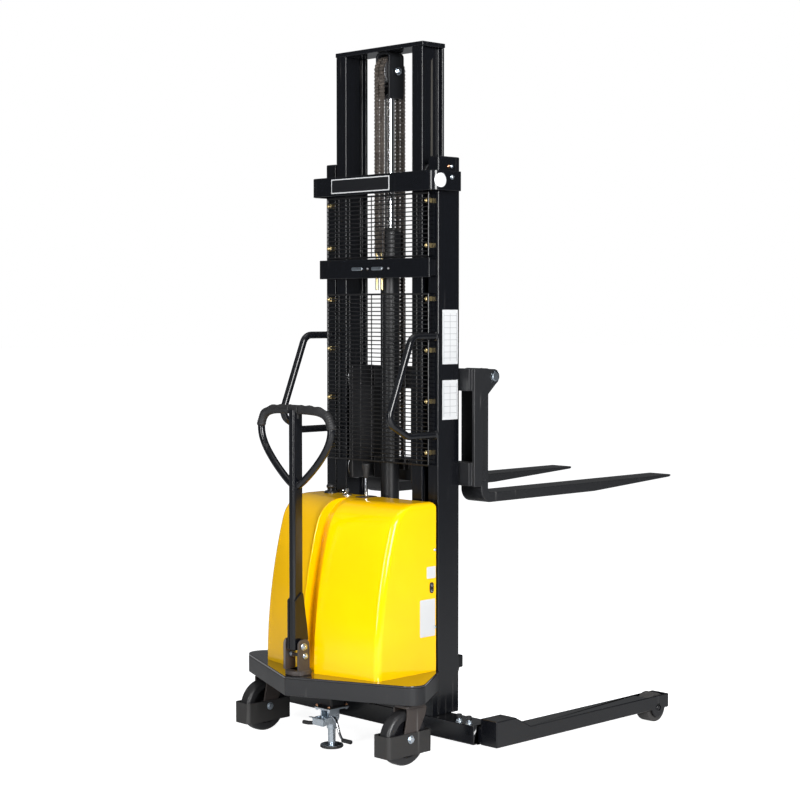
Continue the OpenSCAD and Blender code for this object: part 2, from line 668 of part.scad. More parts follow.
module leg() {
  slab_x(leg_x0, leg_x1) polygon([[beam_y0, leg_z], [fork_cheek_y, leg_z], [fork_cheek_y, leg_z + leg_h],
    [slope_y[1], leg_z + leg_h], [slope_y[0], block_z1], [beam_y0, block_z1]]);
  difference() {
    slab_x(leg_x0, leg_x1) {
      translate([fork_cheek_y, leg_z]) square([leg_end - fork_cheek_y, leg_h]);
      translate([axle_y, leg_z + 6]) circle(36);
    }
    block(leg_x0 + leg_wall, leg_x1 - leg_wall, fork_cheek_y + 6, leg_end - leg_wall, 0, 200);
  }
  rod_x(leg_x0 + leg_wall, leg_x1 - leg_wall, axle_y, load_wheel_d / 2, leg_axle_r);
  rod_x(leg_x1, leg_x1 + 2, axle_y, load_wheel_d / 2, leg_axle_r + 2);
  block(leg_x0 - 190, leg_x0, beam_y0, beam_y1, beam_z0, beam_z1);
}
module leg_right() color("#18191c") at_datum() leg();
module leg_left() color("#18191c") at_datum() mirror([1, 0, 0]) leg();
module load_wheel() difference() {
  rod_x(leg_x0 + leg_wall + 3, leg_x1 - leg_wall - 3, axle_y, load_wheel_d / 2, load_wheel_d / 2);
  rod_x(leg_x0, leg_x1, axle_y, load_wheel_d / 2, leg_axle_r + fit_gap);
}
module load_wheel_right() color("#3a3a3c") at_datum() load_wheel();
module load_wheel_left() color("#3a3a3c") at_datum() mirror([1, 0, 0]) load_wheel();

// One swivel fork with its foot guard, axle and stem
module caster_fork() {
  leg_hx = guard_w / 2 - guard_t - fork_plate_t;
  rod_z(caster_x, pivot_y, crown_z1, deck_under - 12 - 1, stem_r);
  block(caster_x - leg_hx - fork_plate_t, caster_x + leg_hx + fork_plate_t, pivot_y - 50, pivot_y + 38,
    crown_z0, crown_z1);
  for (s = [-1, 1]) {
    translate([caster_x + s * (leg_hx + fork_plate_t / 2), 0, 0]) slab_x(-fork_plate_t / 2, fork_plate_t / 2)
      polygon([[pivot_y - 50, crown_z0], [pivot_y + 38, crown_z0], [wheel_y + 26, wheel_z - 24],
        [wheel_y - 26, wheel_z - 24]]);
  }
  difference() {
    block(caster_x - guard_w / 2, caster_x + guard_w / 2, wheel_y - guard_l / 2, wheel_y + guard_l / 2,
      guard_z0, guard_z0 + guard_h);
    block(caster_x - guard_w / 2 + guard_t, caster_x + guard_w / 2 - guard_t, wheel_y - guard_l / 2 + guard_t,
      wheel_y + guard_l / 2 - guard_t, guard_z0 - 1, guard_z0 + guard_h + 1);
  }
  rod_x(caster_x - guard_w / 2 - 4, caster_x + guard_w / 2 + 4, wheel_y, wheel_z, 7);
}
module caster_wheel() {
  hw = caster_w / 2;
  translate([caster_x, wheel_y, wheel_z]) rotate([0, 90, 0]) rotate_extrude()
    polygon(concat([[7 + fit_gap, -hw], [20, -hw], [20, -hw + 12], [58, -hw + 12], [66, -hw]],
      arc(wheel_z - 14, -hw + 14, 14, 270, 360, 5), arc(wheel_z - 14, hw - 14, 14, 0, 90, 5),
      [[66, hw], [58, hw - 12], [20, hw - 12], [20, hw], [7 + fit_gap, hw]]));
}
module caster_fork_right() color("#2f2f31") at_datum() caster_fork();
module caster_fork_left() color("#2f2f31") at_datum() mirror([1, 0, 0]) caster_fork();
module caster_wheel_right() color("#1c1c1e") at_datum() caster_wheel();
module caster_wheel_left() color("#1c1c1e") at_datum() mirror([1, 0, 0]) caster_wheel();

yoke_t = 7;
yoke_hx = 32;
ear_y0 = -tiller_y - 24;
ear_y1 = -tiller_y + 26;
module tiller_yoke() color("#3a3532") at_datum() {
  rod_z(0, -tiller_y + 10, deck_top + 0.4, deck_top + 16, disc_r);
  rod_z(0, -tiller_y + 10, deck_under - 12, deck_top + 0.4, yoke_stem_r);
  both_sides() slab_x(yoke_hx, yoke_hx + yoke_t) {
    translate([ear_y0, deck_top + 16]) square([ear_y1 - ear_y0, tiller_pivot_z + 6 - deck_top - 16]);
    translate([ear_y0 + 18, tiller_pivot_z + 6]) circle(18);
    translate([ear_y1 - 18, tiller_pivot_z + 6]) circle(18);
    translate([ear_y0 + 18, tiller_pivot_z]) square([ear_y1 - ear_y0 - 36, 24]);
  }
  both_sides() block(yoke_hx, yoke_hx + yoke_t, ear_y0 + 10, ear_y1 - 10, deck_top + 10, deck_top + 17);
  rod_x(-yoke_hx - yoke_t - 6, yoke_hx + yoke_t + 6, -tiller_y, tiller_pivot_z, yoke_pin_r);
  rod_x(-yoke_hx - yoke_t - 5, yoke_hx + yoke_t + 5, -tiller_y + 6, tiller_pivot_z - 32, 6);
}
post_hx = 14;
post_hy = 22;
loop_bend = 52;
bar_r_z = tiller_top - loop_r;
grip_x1 = loop_w / 2 - 80.5;
module tiller() color("#1c1c1e") at_datum() translate([0, -tiller_y, 0]) {
  difference() {
    union() {
      block(-post_hx, post_hx, -post_hy, post_hy, tiller_pivot_z - 12, bar_r_z);
      both_sides() slab_x(post_hx, post_hx + 6)
        polygon([[-post_hy, tiller_pivot_z - 12], [post_hy - 4, tiller_pivot_z - 12],
          [post_hy, tiller_pivot_z + 40], [post_hy - 20, tiller_pivot_z + 185],
          [-post_hy, tiller_pivot_z + 205]]);
    }
    rod_x(-60, 60, 0, tiller_pivot_z, yoke_pin_r + fit_gap);
  }
  for (s = [-1, 1]) rotate([90, 0, 0])
    bent_rod([[0, bar_r_z], [s * (loop_w / 2 + 35), bar_r_z], [s * (post_hx - 4), bar_r_z - 254.5]],
      loop_bend, loop_r);
}
module tiller_grips() color("#161618") at_datum() both_sides()
  difference() {
    rod_x(20, grip_x1, -tiller_y, bar_r_z, loop_r + 3);
    rod_x(19, grip_x1 + 1, -tiller_y, bar_r_z, loop_r);
  }

lock_plate_z = 150;
lock_foot_r = 13;
pedal_z = 112;
pedal_pin_r = 3.5;
pedal_pin_y = -24;
pad_t = 12;
module lock_body() color("#b9bec4") at_datum() translate([lock_x, -lock_y, 0]) {
  difference() {
    union() {
      block(-38, 38, -48, 48, lock_plate_z - 6, lock_plate_z);
      rod_z(0, 0, 74, lock_plate_z - 6, lock_foot_r + 4);
      both_sides() block(18, 22, -31, 16, 92, lock_plate_z - 6);
      both_sides() block(15, 22, -8, 8, 126, lock_plate_z - 6);
    }
    rod_z(0, 0, 60, lock_plate_z - 8, lock_foot_r + fit_gap);
    rod_x(-30, 30, pedal_pin_y, pedal_z, pedal_pin_r + fit_gap);
  }
  block(-30, 30, -30, 30, lock_plate_z, skirt_z0 + 8);
}
module lock_foot() color("#b9bec4") at_datum() translate([lock_x, -lock_y, 0]) {
  rod_z(0, 0, lock_lift + pad_t, lock_plate_z - 10, lock_foot_r);
  rod_z(0, 0, lock_lift, lock_lift + pad_t, 40);
}
module lock_pedal() color("#b9bec4") at_datum() translate([lock_x, -lock_y, 0]) {
  rod_x(-26, 26, pedal_pin_y, pedal_z, pedal_pin_r);
  block(-27, -23, -60, -16, pedal_z - 22, pedal_z + 6);
  block(23, 27, -60, -16, pedal_z - 22, pedal_z + 6);
  block(-27, 27, -64, -60, pedal_z - 22, pedal_z + 2);
}
cross_tube();
clamp_bolts();
bulkhead();
outer_mast_left();
outer_mast_right();
top_strap();
mid_bar();
chain_studs();
guard_upper();
guard_lower();
guard_clips();
grab_rail_left();
grab_rail_right();
name_plates();
cylinder_tube();
cylinder_gland();
deck_plate();
deck_skirt();
deck_rails();
cover();
pump_motor();
oil_tank();
battery();
pressure_pipe();
panel_sockets();
switch_key();
stop_button();
valve_lever();
inner_mast_left();
inner_mast_right();
inner_top_plate();
inner_tie();
piston_rod();
sheave_bracket();
chain_sheaves();
chain_wraps();
chain_front_runs();
chain_rear_runs();
mast_rollers_upper();
mast_rollers_lower();
carriage_frame();
carriage_rollers_upper();
carriage_rollers_lower();
fork_shaft();
fork_left();
fork_right();
leg_left();
leg_right();
load_wheel_left();
load_wheel_right();
caster_fork_left();
caster_fork_right();
caster_wheel_left();
caster_wheel_right();
tiller_yoke();
tiller();
tiller_grips();
lock_body();
lock_foot();
lock_pedal();
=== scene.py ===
import json
import math
import bmesh
import bpy
from mathutils import Matrix, Vector

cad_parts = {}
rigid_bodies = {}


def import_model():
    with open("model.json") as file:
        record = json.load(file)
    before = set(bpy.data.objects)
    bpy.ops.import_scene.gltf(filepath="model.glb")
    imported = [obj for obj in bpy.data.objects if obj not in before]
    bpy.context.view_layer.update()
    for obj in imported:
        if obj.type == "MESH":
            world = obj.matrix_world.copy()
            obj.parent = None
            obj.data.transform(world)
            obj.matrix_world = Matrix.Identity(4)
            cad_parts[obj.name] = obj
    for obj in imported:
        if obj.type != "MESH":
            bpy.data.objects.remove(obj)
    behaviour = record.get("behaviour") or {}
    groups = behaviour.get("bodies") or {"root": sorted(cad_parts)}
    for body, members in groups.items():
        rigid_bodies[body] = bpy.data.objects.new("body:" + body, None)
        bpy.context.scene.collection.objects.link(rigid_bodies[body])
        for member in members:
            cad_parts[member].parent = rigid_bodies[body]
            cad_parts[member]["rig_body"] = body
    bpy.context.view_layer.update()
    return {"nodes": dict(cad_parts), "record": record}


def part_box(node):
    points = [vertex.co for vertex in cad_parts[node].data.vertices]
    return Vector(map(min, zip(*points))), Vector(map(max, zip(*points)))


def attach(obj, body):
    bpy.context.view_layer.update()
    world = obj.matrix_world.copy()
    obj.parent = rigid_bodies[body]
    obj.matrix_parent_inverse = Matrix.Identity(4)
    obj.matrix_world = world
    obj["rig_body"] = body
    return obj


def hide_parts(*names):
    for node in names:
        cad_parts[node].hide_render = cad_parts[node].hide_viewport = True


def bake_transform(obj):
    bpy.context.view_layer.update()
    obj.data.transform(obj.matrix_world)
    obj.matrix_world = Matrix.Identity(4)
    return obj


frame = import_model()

nodes = frame["nodes"]
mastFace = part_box("outer_mast_right")[0].y      # operator's face of the outer mast


def at(x, y, z):
    return Vector((x, mastFace + y, z))


# camera and light
camera = {"place": (4.5538, -4.3465, 1.4799), "turn": 45.72, "down": 2.75, "lens": 81.46}
camData = bpy.data.cameras.new("camera")
camData.lens = camera["lens"]
camData.sensor_width = 36.0
camData.clip_end = 200.0
cam = bpy.data.objects.new("camera", camData)
cam.location = at(*camera["place"])
cam.rotation_euler = (math.radians(90 - camera["down"]), 0, math.radians(camera["turn"]))
bpy.context.scene.collection.objects.link(cam)
bpy.context.scene.camera = cam
bpy.context.scene.view_settings.view_transform = "Standard"

# the camera sees white, while the object is lit and mirrored by a dimmer room
room = {"low": 0.07, "high": 0.30}
world = bpy.data.worlds.new("studio")
world.use_nodes = True
sky = world.node_tree
dim = sky.nodes["Background"]
white = sky.nodes.new("ShaderNodeBackground")
white.inputs["Strength"].default_value = 1.0
white.inputs["Color"].default_value = (1, 1, 1, 1)
dim.inputs["Color"].default_value = (0.93, 0.96, 1.0, 1)
up = sky.nodes.new("ShaderNodeSeparateXYZ")
rise = sky.nodes.new("ShaderNodeMapRange")
seen = sky.nodes.new("ShaderNodeLightPath")
either = sky.nodes.new("ShaderNodeMixShader")
rise.inputs["From Min"].default_value = -0.1
rise.inputs["To Min"].default_value = room["low"]
rise.inputs["To Max"].default_value = room["high"]
sky.links.new(sky.nodes.new("ShaderNodeTexCoord").outputs["Generated"], up.inputs[0])
sky.links.new(up.outputs["Z"], rise.inputs["Value"])
sky.links.new(rise.outputs["Result"], dim.inputs["Strength"])
sky.links.new(seen.outputs["Is Camera Ray"], either.inputs[0])
sky.links.new(dim.outputs[0], either.inputs[1])
sky.links.new(white.outputs[0], either.inputs[2])
sky.links.new(either.outputs[0], sky.nodes["World Output"].inputs["Surface"])
bpy.context.scene.world = world


def softBox(name, place, aim, size, watts, tint=(1, 1, 1)):
    data = bpy.data.lights.new(name, "AREA")
    data.shape = "RECTANGLE"
    data.size, data.size_y = size
    data.energy = watts
    data.color = tint
    lamp = bpy.data.objects.new(name, data)
    lamp.location = at(*place)
    lamp.rotation_euler = (at(*aim) - lamp.location).to_track_quat("-Z", "Y").to_euler()
    bpy.context.scene.collection.objects.link(lamp)


softBox("keyLight", (4.6, -2.2, 2.6), (0, 0, 1.0), (1.4, 3.2), 350)
softBox("frontLight", (1.3, -5.4, 2.0), (0, 0, 0.9), (0.9, 3.2), 140)
softBox("topLight", (0.2, -0.6, 5.0), (0, 0, 1.0), (2.0, 2.0), 20)
print("camera and lights ready")


# shader groups
def newGroup(name, ins, outs):
    g = bpy.data.node_groups.new(name, "ShaderNodeTree")
    for label, kind, value in ins:
        s = g.interface.new_socket(name=label, in_out="INPUT", socket_type=kind)
        s.default_value = value
    for label, kind in outs:
        g.interface.new_socket(name=label, in_out="OUTPUT", socket_type=kind)
    return g, g.nodes.new("NodeGroupInput"), g.nodes.new("NodeGroupOutput")


def tex(g, kind, coords, scale, detail=3.0, stretch=None):
    n = g.nodes.new(kind)
    if stretch:
        m = g.nodes.new("ShaderNodeMapping")
        m.inputs["Scale"].default_value = stretch
        g.links.new(coords, m.inputs["Vector"])
        coords = m.outputs["Vector"]
    g.links.new(coords, n.inputs["Vector"])
    if isinstance(scale, (int, float)):
        n.inputs["Scale"].default_value = scale
    else:
        g.links.new(scale, n.inputs["Scale"])
    if "Detail" in n.inputs:
        n.inputs["Detail"].default_value = detail
    return n


def remap(g, value, low, high, toLow, toHigh):
    n = g.nodes.new("ShaderNodeMapRange")
    n.clamp = True
    g.links.new(value, n.inputs["Value"])
    for key, v in zip(("From Min", "From Max", "To Min", "To Max"), (low, high, toLow, toHigh)):
        n.inputs[key].default_value = v
    return n.outputs["Result"]


def calc(g, op, a, b):
    n = g.nodes.new("ShaderNodeMath")
    n.operation = op
    for i, v in enumerate((a, b)):
        if isinstance(v, (int, float)):
            n.inputs[i].default_value = v
        else:
            g.links.new(v, n.inputs[i])
    return n.outputs[0]


def blendColour(g, fac, a, b):
    n = g.nodes.new("ShaderNodeMix")
    n.data_type = "RGBA"
    for key, v in (("Factor", fac), ("A", a), ("B", b)):
        sock = [s for s in n.inputs
                if s.name == key and s.type == ("VALUE" if key == "Factor" else "RGBA")][0]
        if isinstance(v, (int, float, tuple)):
            sock.default_value = v
        else:
            g.links.new(v, sock)
    return [s for s in n.outputs if s.type == "RGBA"][0]


def makePaintGroup():
    g, gin, gout = newGroup("paintFinish", [
        ("Colour", "NodeSocketColor", (0.02, 0.02, 0.02, 1)),
        ("Dust", "NodeSocketColor", (0.3, 0.28, 0.25, 1)),
        ("Dust Amount", "NodeSocketFloat", 0.1), ("Roughness", "NodeSocketFloat", 0.3),
        ("Spread", "NodeSocketFloat", 0.1), ("Peel Scale", "NodeSocketFloat", 220.0),
        ("Peel", "NodeSocketFloat", 0.05), ("Wear", "NodeSocketFloat", 0.1)],
        [("Colour", "NodeSocketColor"), ("Roughness", "NodeSocketFloat"), ("Normal", "NodeSocketVector")])
    coords = g.nodes.new("ShaderNodeTexCoord").outputs["Object"]
    broad = tex(g, "ShaderNodeTexNoise", coords, 5.0, 4.0).outputs["Fac"]
    peel = tex(g, "ShaderNodeTexNoise", coords, gin.outputs["Peel Scale"], 2.0).outputs["Fac"]
    scratch = tex(g, "ShaderNodeTexNoise", coords, 60.0, 2.0, (1.0, 1.0, 0.06)).outputs["Fac"]
    facing = g.nodes.new("ShaderNodeSeparateXYZ")
    g.links.new(g.nodes.new("ShaderNodeNewGeometry").outputs["Normal"], facing.inputs[0])
    up = remap(g, facing.outputs["Z"], 0.2, 1.0, 0.0, 1.0)
    speck = remap(g, broad, 0.35, 0.75, 0.15, 1.0)
    dust = calc(g, "MULTIPLY", calc(g, "MULTIPLY", up, speck), gin.outputs["Dust Amount"])
    shade = remap(g, broad, 0.3, 0.7, 0.0, 1.0)
    darker = blendColour(g, 0.35, gin.outputs["Colour"], (0.0, 0.0, 0.0, 1))
    tone = blendColour(g, calc(g, "MULTIPLY", shade, 0.25), gin.outputs["Colour"], darker)
    mark = calc(g, "MULTIPLY", remap(g, scratch, 0.66, 0.74, 0.0, 1.0), gin.outputs["Wear"])
    dusted = blendColour(g, dust, tone, gin.outputs["Dust"])
    worn = blendColour(g, mark, dusted, (0.35, 0.34, 0.33, 1))
    g.links.new(worn, gout.inputs["Colour"])
    wander = calc(g, "MULTIPLY", calc(g, "SUBTRACT", broad, 0.5), gin.outputs["Spread"])
    rough = calc(g, "ADD", calc(g, "ADD", gin.outputs["Roughness"], wander), calc(g, "MULTIPLY", dust, 0.4))
    g.links.new(calc(g, "ADD", rough, calc(g, "MULTIPLY", mark, 0.2)), gout.inputs["Roughness"])
    bump = g.nodes.new("ShaderNodeBump")
    bump.inputs["Distance"].default_value = 0.0006
    g.links.new(gin.outputs["Peel"], bump.inputs["Strength"])
    g.links.new(peel, bump.inputs["Height"])
    g.links.new(bump.outputs["Normal"], gout.inputs["Normal"])
    return g


def makeMetalGroup():
    g, gin, gout = newGroup("metalFinish", [
        ("Colour", "NodeSocketColor", (0.6, 0.6, 0.6, 1)), ("Tint", "NodeSocketColor", (0.4, 0.4, 0.4, 1)),
        ("Roughness", "NodeSocketFloat", 0.3), ("Spread", "NodeSocketFloat", 0.15),
        ("Grain Scale", "NodeSocketFloat", 300.0), ("Grain", "NodeSocketFloat", 0.1)],
        [("Colour", "NodeSocketColor"), ("Roughness", "NodeSocketFloat"), ("Normal", "NodeSocketVector")])
    coords = g.nodes.new("ShaderNodeTexCoord").outputs["Object"]
    cells = tex(g, "ShaderNodeTexVoronoi", coords, 160.0).outputs["Distance"]
    broad = tex(g, "ShaderNodeTexNoise", coords, 24.0, 4.0).outputs["Fac"]
    grain = tex(g, "ShaderNodeTexNoise", coords, gin.outputs["Grain Scale"], 3.0).outputs["Fac"]
    patch = calc(g, "MULTIPLY", calc(g, "ADD", remap(g, cells, 0.0, 0.8, 0.0, 0.6),
                                     remap(g, broad, 0.3, 0.7, 0.0, 0.6)), 0.7)
    g.links.new(blendColour(g, patch, gin.outputs["Colour"], gin.outputs["Tint"]), gout.inputs["Colour"])
    wander = calc(g, "MULTIPLY", calc(g, "SUBTRACT", broad, 0.5), gin.outputs["Spread"])
    g.links.new(calc(g, "ADD", gin.outputs["Roughness"], wander), gout.inputs["Roughness"])
    bump = g.nodes.new("ShaderNodeBump")
    bump.inputs["Distance"].default_value = 0.0005
    g.links.new(gin.outputs["Grain"], bump.inputs["Strength"])
    g.links.new(grain, bump.inputs["Height"])
    g.links.new(bump.outputs["Normal"], gout.inputs["Normal"])
    return g


paintGroup = makePaintGroup()
metalGroup = makeMetalGroup()
mats = {}


def finishMaterial(name, group, inputs, metallic=0.0, coat=0.0, coatRough=0.05, specular=0.5):
    mat = bpy.data.materials.new(name)
    mat.use_nodes = True
    tree = mat.node_tree
    shader = tree.nodes["Principled BSDF"]
    use = tree.nodes.new("ShaderNodeGroup")
    use.node_tree = group
    for key, v in inputs.items():
        use.inputs[key].default_value = (*v, 1) if isinstance(v, tuple) else v
    tree.links.new(use.outputs["Colour"], shader.inputs["Base Color"])
    tree.links.new(use.outputs["Roughness"], shader.inputs["Roughness"])
    tree.links.new(use.outputs["Normal"], shader.inputs["Normal"])
    shader.inputs["Metallic"].default_value = metallic
    shader.inputs["Coat Weight"].default_value = coat
    shader.inputs["Coat Roughness"].default_value = coatRough
    shader.inputs["Specular IOR Level"].default_value = specular
    mats[name] = mat


def paint(name, colour, rough, **k):
    shader = {key: k.pop(key) for key in ("coat", "coatRough", "specular") if key in k}
    inputs = {"Colour": colour, "Roughness": rough, "Spread": k.get("spread", 0.12),
              "Peel Scale": k.get("peelScale", 220.0), "Peel": k.get("peel", 0.06),
              "Dust Amount": k.get("dust", 0.05), "Wear": k.get("wear", 0.05)}
    finishMaterial(name, paintGroup, inputs, **shader)


def metal(name, colour, tint, rough, **k):
    inputs = {"Colour": colour, "Tint": tint, "Roughness": rough, "Spread": k.get("spread", 0.15),
              "Grain Scale": k.get("grainScale", 300.0), "Grain": k.get("grain", 0.1)}
    finishMaterial(name, metalGroup, inputs, metallic=1.0)


paint("mastBlack", (0.0030, 0.0035, 0.0052), 0.22, coat=0.25, coatRough=0.10, peel=0.10, specular=0.35)
paint("satinBlack", (0.0070, 0.0076, 0.0092), 0.40, peel=0.10, wear=0.08, specular=0.35)
paint("forkBlack", (0.0115, 0.0120, 0.0138), 0.42, peel=0.14, wear=0.30, peelScale=140.0)
paint("skirtGrey", (0.0135, 0.0140, 0.0158), 0.42, peel=0.10, specular=0.4)
paint("casterGrey", (0.0200, 0.0190, 0.0185), 0.52, peel=0.25, wear=0.12, peelScale=160.0)
paint("yokeBrown", (0.040, 0.032, 0.029), 0.46, peel=0.30, wear=0.20, peelScale=150.0)
paint("coverYellow", (1.0, 0.56, 0.0), 0.11, specular=0.38, peel=0.03, wear=0.0, dust=0.0)
paint("deckBlack", (0.0060, 0.0060, 0.0075), 0.09, coat=0.8, coatRough=0.03, peel=0.03)
paint("wireBlack", (0.0060, 0.0060, 0.0068), 0.34, peel=0.05)
paint("gripRubber", (0.0100, 0.0100, 0.0112), 0.58, peel=0.5, peelScale=700.0, wear=0.0)
paint("tyreBlack", (0.0120, 0.0120, 0.0135), 0.40, peel=0.2, peelScale=300.0, dust=0.10)
paint("hubBlack", (0.0060, 0.0060, 0.0075), 0.28, peel=0.1)
paint("plasticBlack", (0.0090, 0.0090, 0.0105), 0.36, peel=0.35, peelScale=800.0, wear=0.0)
paint("batteryCase", (0.03, 0.033, 0.04), 0.5, peel=0.4, peelScale=500.0)
paint("plateWhite", (0.60, 0.61, 0.62), 0.45, peel=0.02, wear=0.0, dust=0.05)
paint("plateGrey", (0.22, 0.23, 0.25), 0.4, peel=0.02, wear=0.0)
paint("loadGrey", (0.045, 0.043, 0.042), 0.45, peel=0.2, wear=0.2, dust=0.2)
metal("chrome", (0.86, 0.87, 0.88), (0.7, 0.71, 0.73), 0.10, grain=0.02, spread=0.05)
metal("zinc", (0.68, 0.74, 0.80), (0.42, 0.48, 0.54), 0.28, grain=0.15)
metal("copperBolt", (0.72, 0.42, 0.28), (0.45, 0.25, 0.14), 0.32, grain=0.15)
paint("grease", (0.060, 0.056, 0.050), 0.32, peel=0.5, peelScale=90.0)
metal("yellowZinc", (0.76, 0.62, 0.36), (0.55, 0.42, 0.18), 0.34, grain=0.15)
metal("chainSteel", (0.62, 0.55, 0.49), (0.20, 0.175, 0.16), 0.42, grain=0.2)
metal("rollerSteel", (0.42, 0.42, 0.43), (0.25, 0.25, 0.26), 0.35, grain=0.2)
paint("floorPale", (0.85, 0.85, 0.85), 0.75, peel=0.02, wear=0.0, dust=0.0, specular=0.1)
# the floor is a seamless white to the camera, with soft contact shadows
lift = mats["floorPale"].node_tree
glow = lift.nodes.new("ShaderNodeMath")
glow.operation = "MULTIPLY"
glow.inputs[1].default_value = 0.90
lift.links.new(lift.nodes.new("ShaderNodeLightPath").outputs["Is Camera Ray"], glow.inputs[0])
lift.links.new(glow.outputs[0], lift.nodes["Principled BSDF"].inputs["Emission Strength"])
lift.nodes["Principled BSDF"].inputs["Emission Color"].default_value = (1, 1, 1, 1)
print("materials ready:", len(mats))


# mesh helpers
slotOf = {p["node"]: p["material_slot"] for p in frame["record"]["subparts"]}
bodyOf = {n: o["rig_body"] for n, o in nodes.items()}


def polar(radius, angle):
    return radius * math.cos(angle), radius * math.sin(angle)


def putDown(name, bm, mat, body, slot=None, replaces=(), bevel=0.0, segments=2, angle=32):
    bmesh.ops.recalc_face_normals(bm, faces=bm.faces)
    mesh = bpy.data.meshes.new(name)
    bm.to_mesh(mesh)
    bm.free()
    mesh.materials.append(mats[mat])
    for p in mesh.polygons:
        p.use_smooth = True
    piece = bpy.data.objects.new(name, mesh)
    bpy.context.scene.collection.objects.link(piece)
    soften(piece, bevel, segments, angle)
    if body:
        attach(piece, body)
        if replaces:
            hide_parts(*replaces)
    return piece


def soften(piece, width, segments=2, angle=32):
    if width:
        edges = piece.modifiers.new("edges", "BEVEL")
        edges.width = width
        edges.segments = segments
        edges.limit_method = "ANGLE"
        edges.angle_limit = math.radians(angle)
        edges.use_clamp_overlap = False
    else:
        corner = piece.modifiers.new("corners", "EDGE_SPLIT")
        corner.split_angle = math.radians(angle)
    weigh = piece.modifiers.new("normals", "WEIGHTED_NORMAL")
    weigh.keep_sharp = True


def bakeShape(piece):
    bpy.context.view_layer.update()
    shape = piece.evaluated_get(bpy.context.evaluated_depsgraph_get())
    mesh = bpy.data.meshes.new_from_object(shape)
    piece.modifiers.clear()
    piece.data = mesh


def fromNode(node):
    bm = bmesh.new()
    bm.from_mesh(nodes[node].data)
    bmesh.ops.remove_doubles(bm, verts=bm.verts, dist=2e-5)
    bmesh.ops.dissolve_limit(bm, angle_limit=math.radians(0.6), verts=bm.verts, edges=bm.edges)
    return bm


def restyle(node, mat, bevel=0.0015, segments=2, angle=32):
    return putDown(node + "_made", fromNode(node), mat, bodyOf[node], None, (node,), bevel, segments, angle)


def frameOf(direction):
    return Vector(direction).normalized().to_track_quat("Z", "Y").to_matrix().to_4x4()


def lathe(bm, profile, place, direction, steps=40):
    turn = Matrix.Translation(place) @ frameOf(direction)
    rings = []
    for r, h in profile:
        if r < 1e-6:
            rings.append([bm.verts.new(turn @ Vector((0, 0, h)))])
            continue
        rings.append([bm.verts.new(turn @ Vector((*polar(r, 2 * math.pi * i / steps), h)))
                      for i in range(steps)])
    for a, b in zip(rings, rings[1:]):
        for i in range(steps):
            j = (i + 1) % steps
            if len(a) == 1 and len(b) > 1:
                bm.faces.new((a[0], b[i], b[j]))
            elif len(b) == 1 and len(a) > 1:
                bm.faces.new((a[i], b[0], a[j]))
            elif len(a) > 1:
                bm.faces.new((a[i], b[i], b[j], a[j]))
    return rings


def flipped(profile):
    return [(r, -h) for r, h in reversed(profile)]


def closedLathe(bm, profile, place, direction, steps=40):
    lathe(bm, profile + [profile[0]], place, direction, steps)
    bmesh.ops.remove_doubles(bm, verts=bm.verts, dist=1e-7)


def turned(name, mat, body, profile, place, direction=(0, 0, 1), steps=40, closed=False, **rest):
    bm = bmesh.new()
    (closedLathe if closed else lathe)(bm, profile, place, direction, steps)
    return putDown(name, bm, mat, body, **rest)


def extrude(bm, outline, low, high, axis="z", offset=(0, 0, 0)):
    turn = {"z": lambda u, v, w: (u, v, w), "x": lambda u, v, w: (w, u, v),
            "y": lambda u, v, w: (u, w, v)}[axis]
    rings = [[bm.verts.new(Vector(offset) + Vector(turn(u, v, w))) for u, v in outline] for w in (low, high)]
    count = len(outline)
    for i in range(count):
        j = (i + 1) % count
        bm.faces.new((rings[0][i], rings[0][j], rings[1][j], rings[1][i]))
    bm.faces.new(rings[0])
    bm.faces.new(rings[1])


def twin(bm, outline, centre, near, far):
    # the same plate on both sides of centre
    for s in (-1, 1):
        a, b = sorted((s * near, s * far))
        extrude(bm, outline, centre + a, centre + b, "x")


def roundRect(cx, cy, hx, hy, r, steps=5):
    points = []
    for sx, sy, start in ((1, 1, 0), (-1, 1, 90), (-1, -1, 180), (1, -1, 270)):
        for i in range(steps + 1):
            x, y = polar(r, math.radians(start + 90 * i / steps))
            points.append((cx + sx * (hx - r) + x, cy + sy * (hy - r) + y))
    return points


def smoothPath(points, per=8):
    pts = [Vector(p) for p in points]
    pts = [2 * pts[0] - pts[1]] + pts + [2 * pts[-1] - pts[-2]]
    out = []
    for i in range(1, len(pts) - 2):
        a, b, c, d = pts[i - 1:i + 3]
        for k in range(per):
            t = k / per
            out.append(0.5 * ((2 * b) + (c - a) * t + (2 * a - 5 * b + 4 * c - d) * t * t
                              + (3 * b - a - 3 * c + d) * t ** 3))
    return out + [pts[-2]]


def sweep(bm, path, radius, sides=16, caps=True, normal=(0, 1, 0)):
    # radius is a number or a function of (way along, angle); angle 0 lies along normal
    up = Vector(normal)
    rings = []
    travel = 0.0
    for i, p in enumerate(path):
        ahead = (path[min(i + 1, len(path) - 1)] - path[max(i - 1, 0)]).normalized()
        if i:
            travel += (p - path[i - 1]).length
        up = (up - up.dot(ahead) * ahead).normalized()
        side = ahead.cross(up)
        ring = []
        for k in range(sides):
            a = 2 * math.pi * k / sides
            r = radius(travel, a) if callable(radius) else radius
            ring.append(bm.verts.new(p + up * (r * math.cos(a)) + side * (r * math.sin(a))))
        rings.append(ring)
    for a, b in zip(rings, rings[1:]):
        for k in range(sides):
            j = (k + 1) % sides
            bm.faces.new((a[k], a[j], b[j], b[k]))
    if caps:
        bm.faces.new(rings[0])
        bm.faces.new(rings[-1])
    return rings


def loft(bm, sections, closed=False):
    rows = [[bm.verts.new(p) for p in s] for s in sections]
    for a, b in zip(rows, rows[1:]):
        last = len(a) if closed else len(a) - 1
        for i in range(last):
            j = (i + 1) % len(a)
            bm.faces.new((a[i], a[j], b[j], b[i]))
    return rows


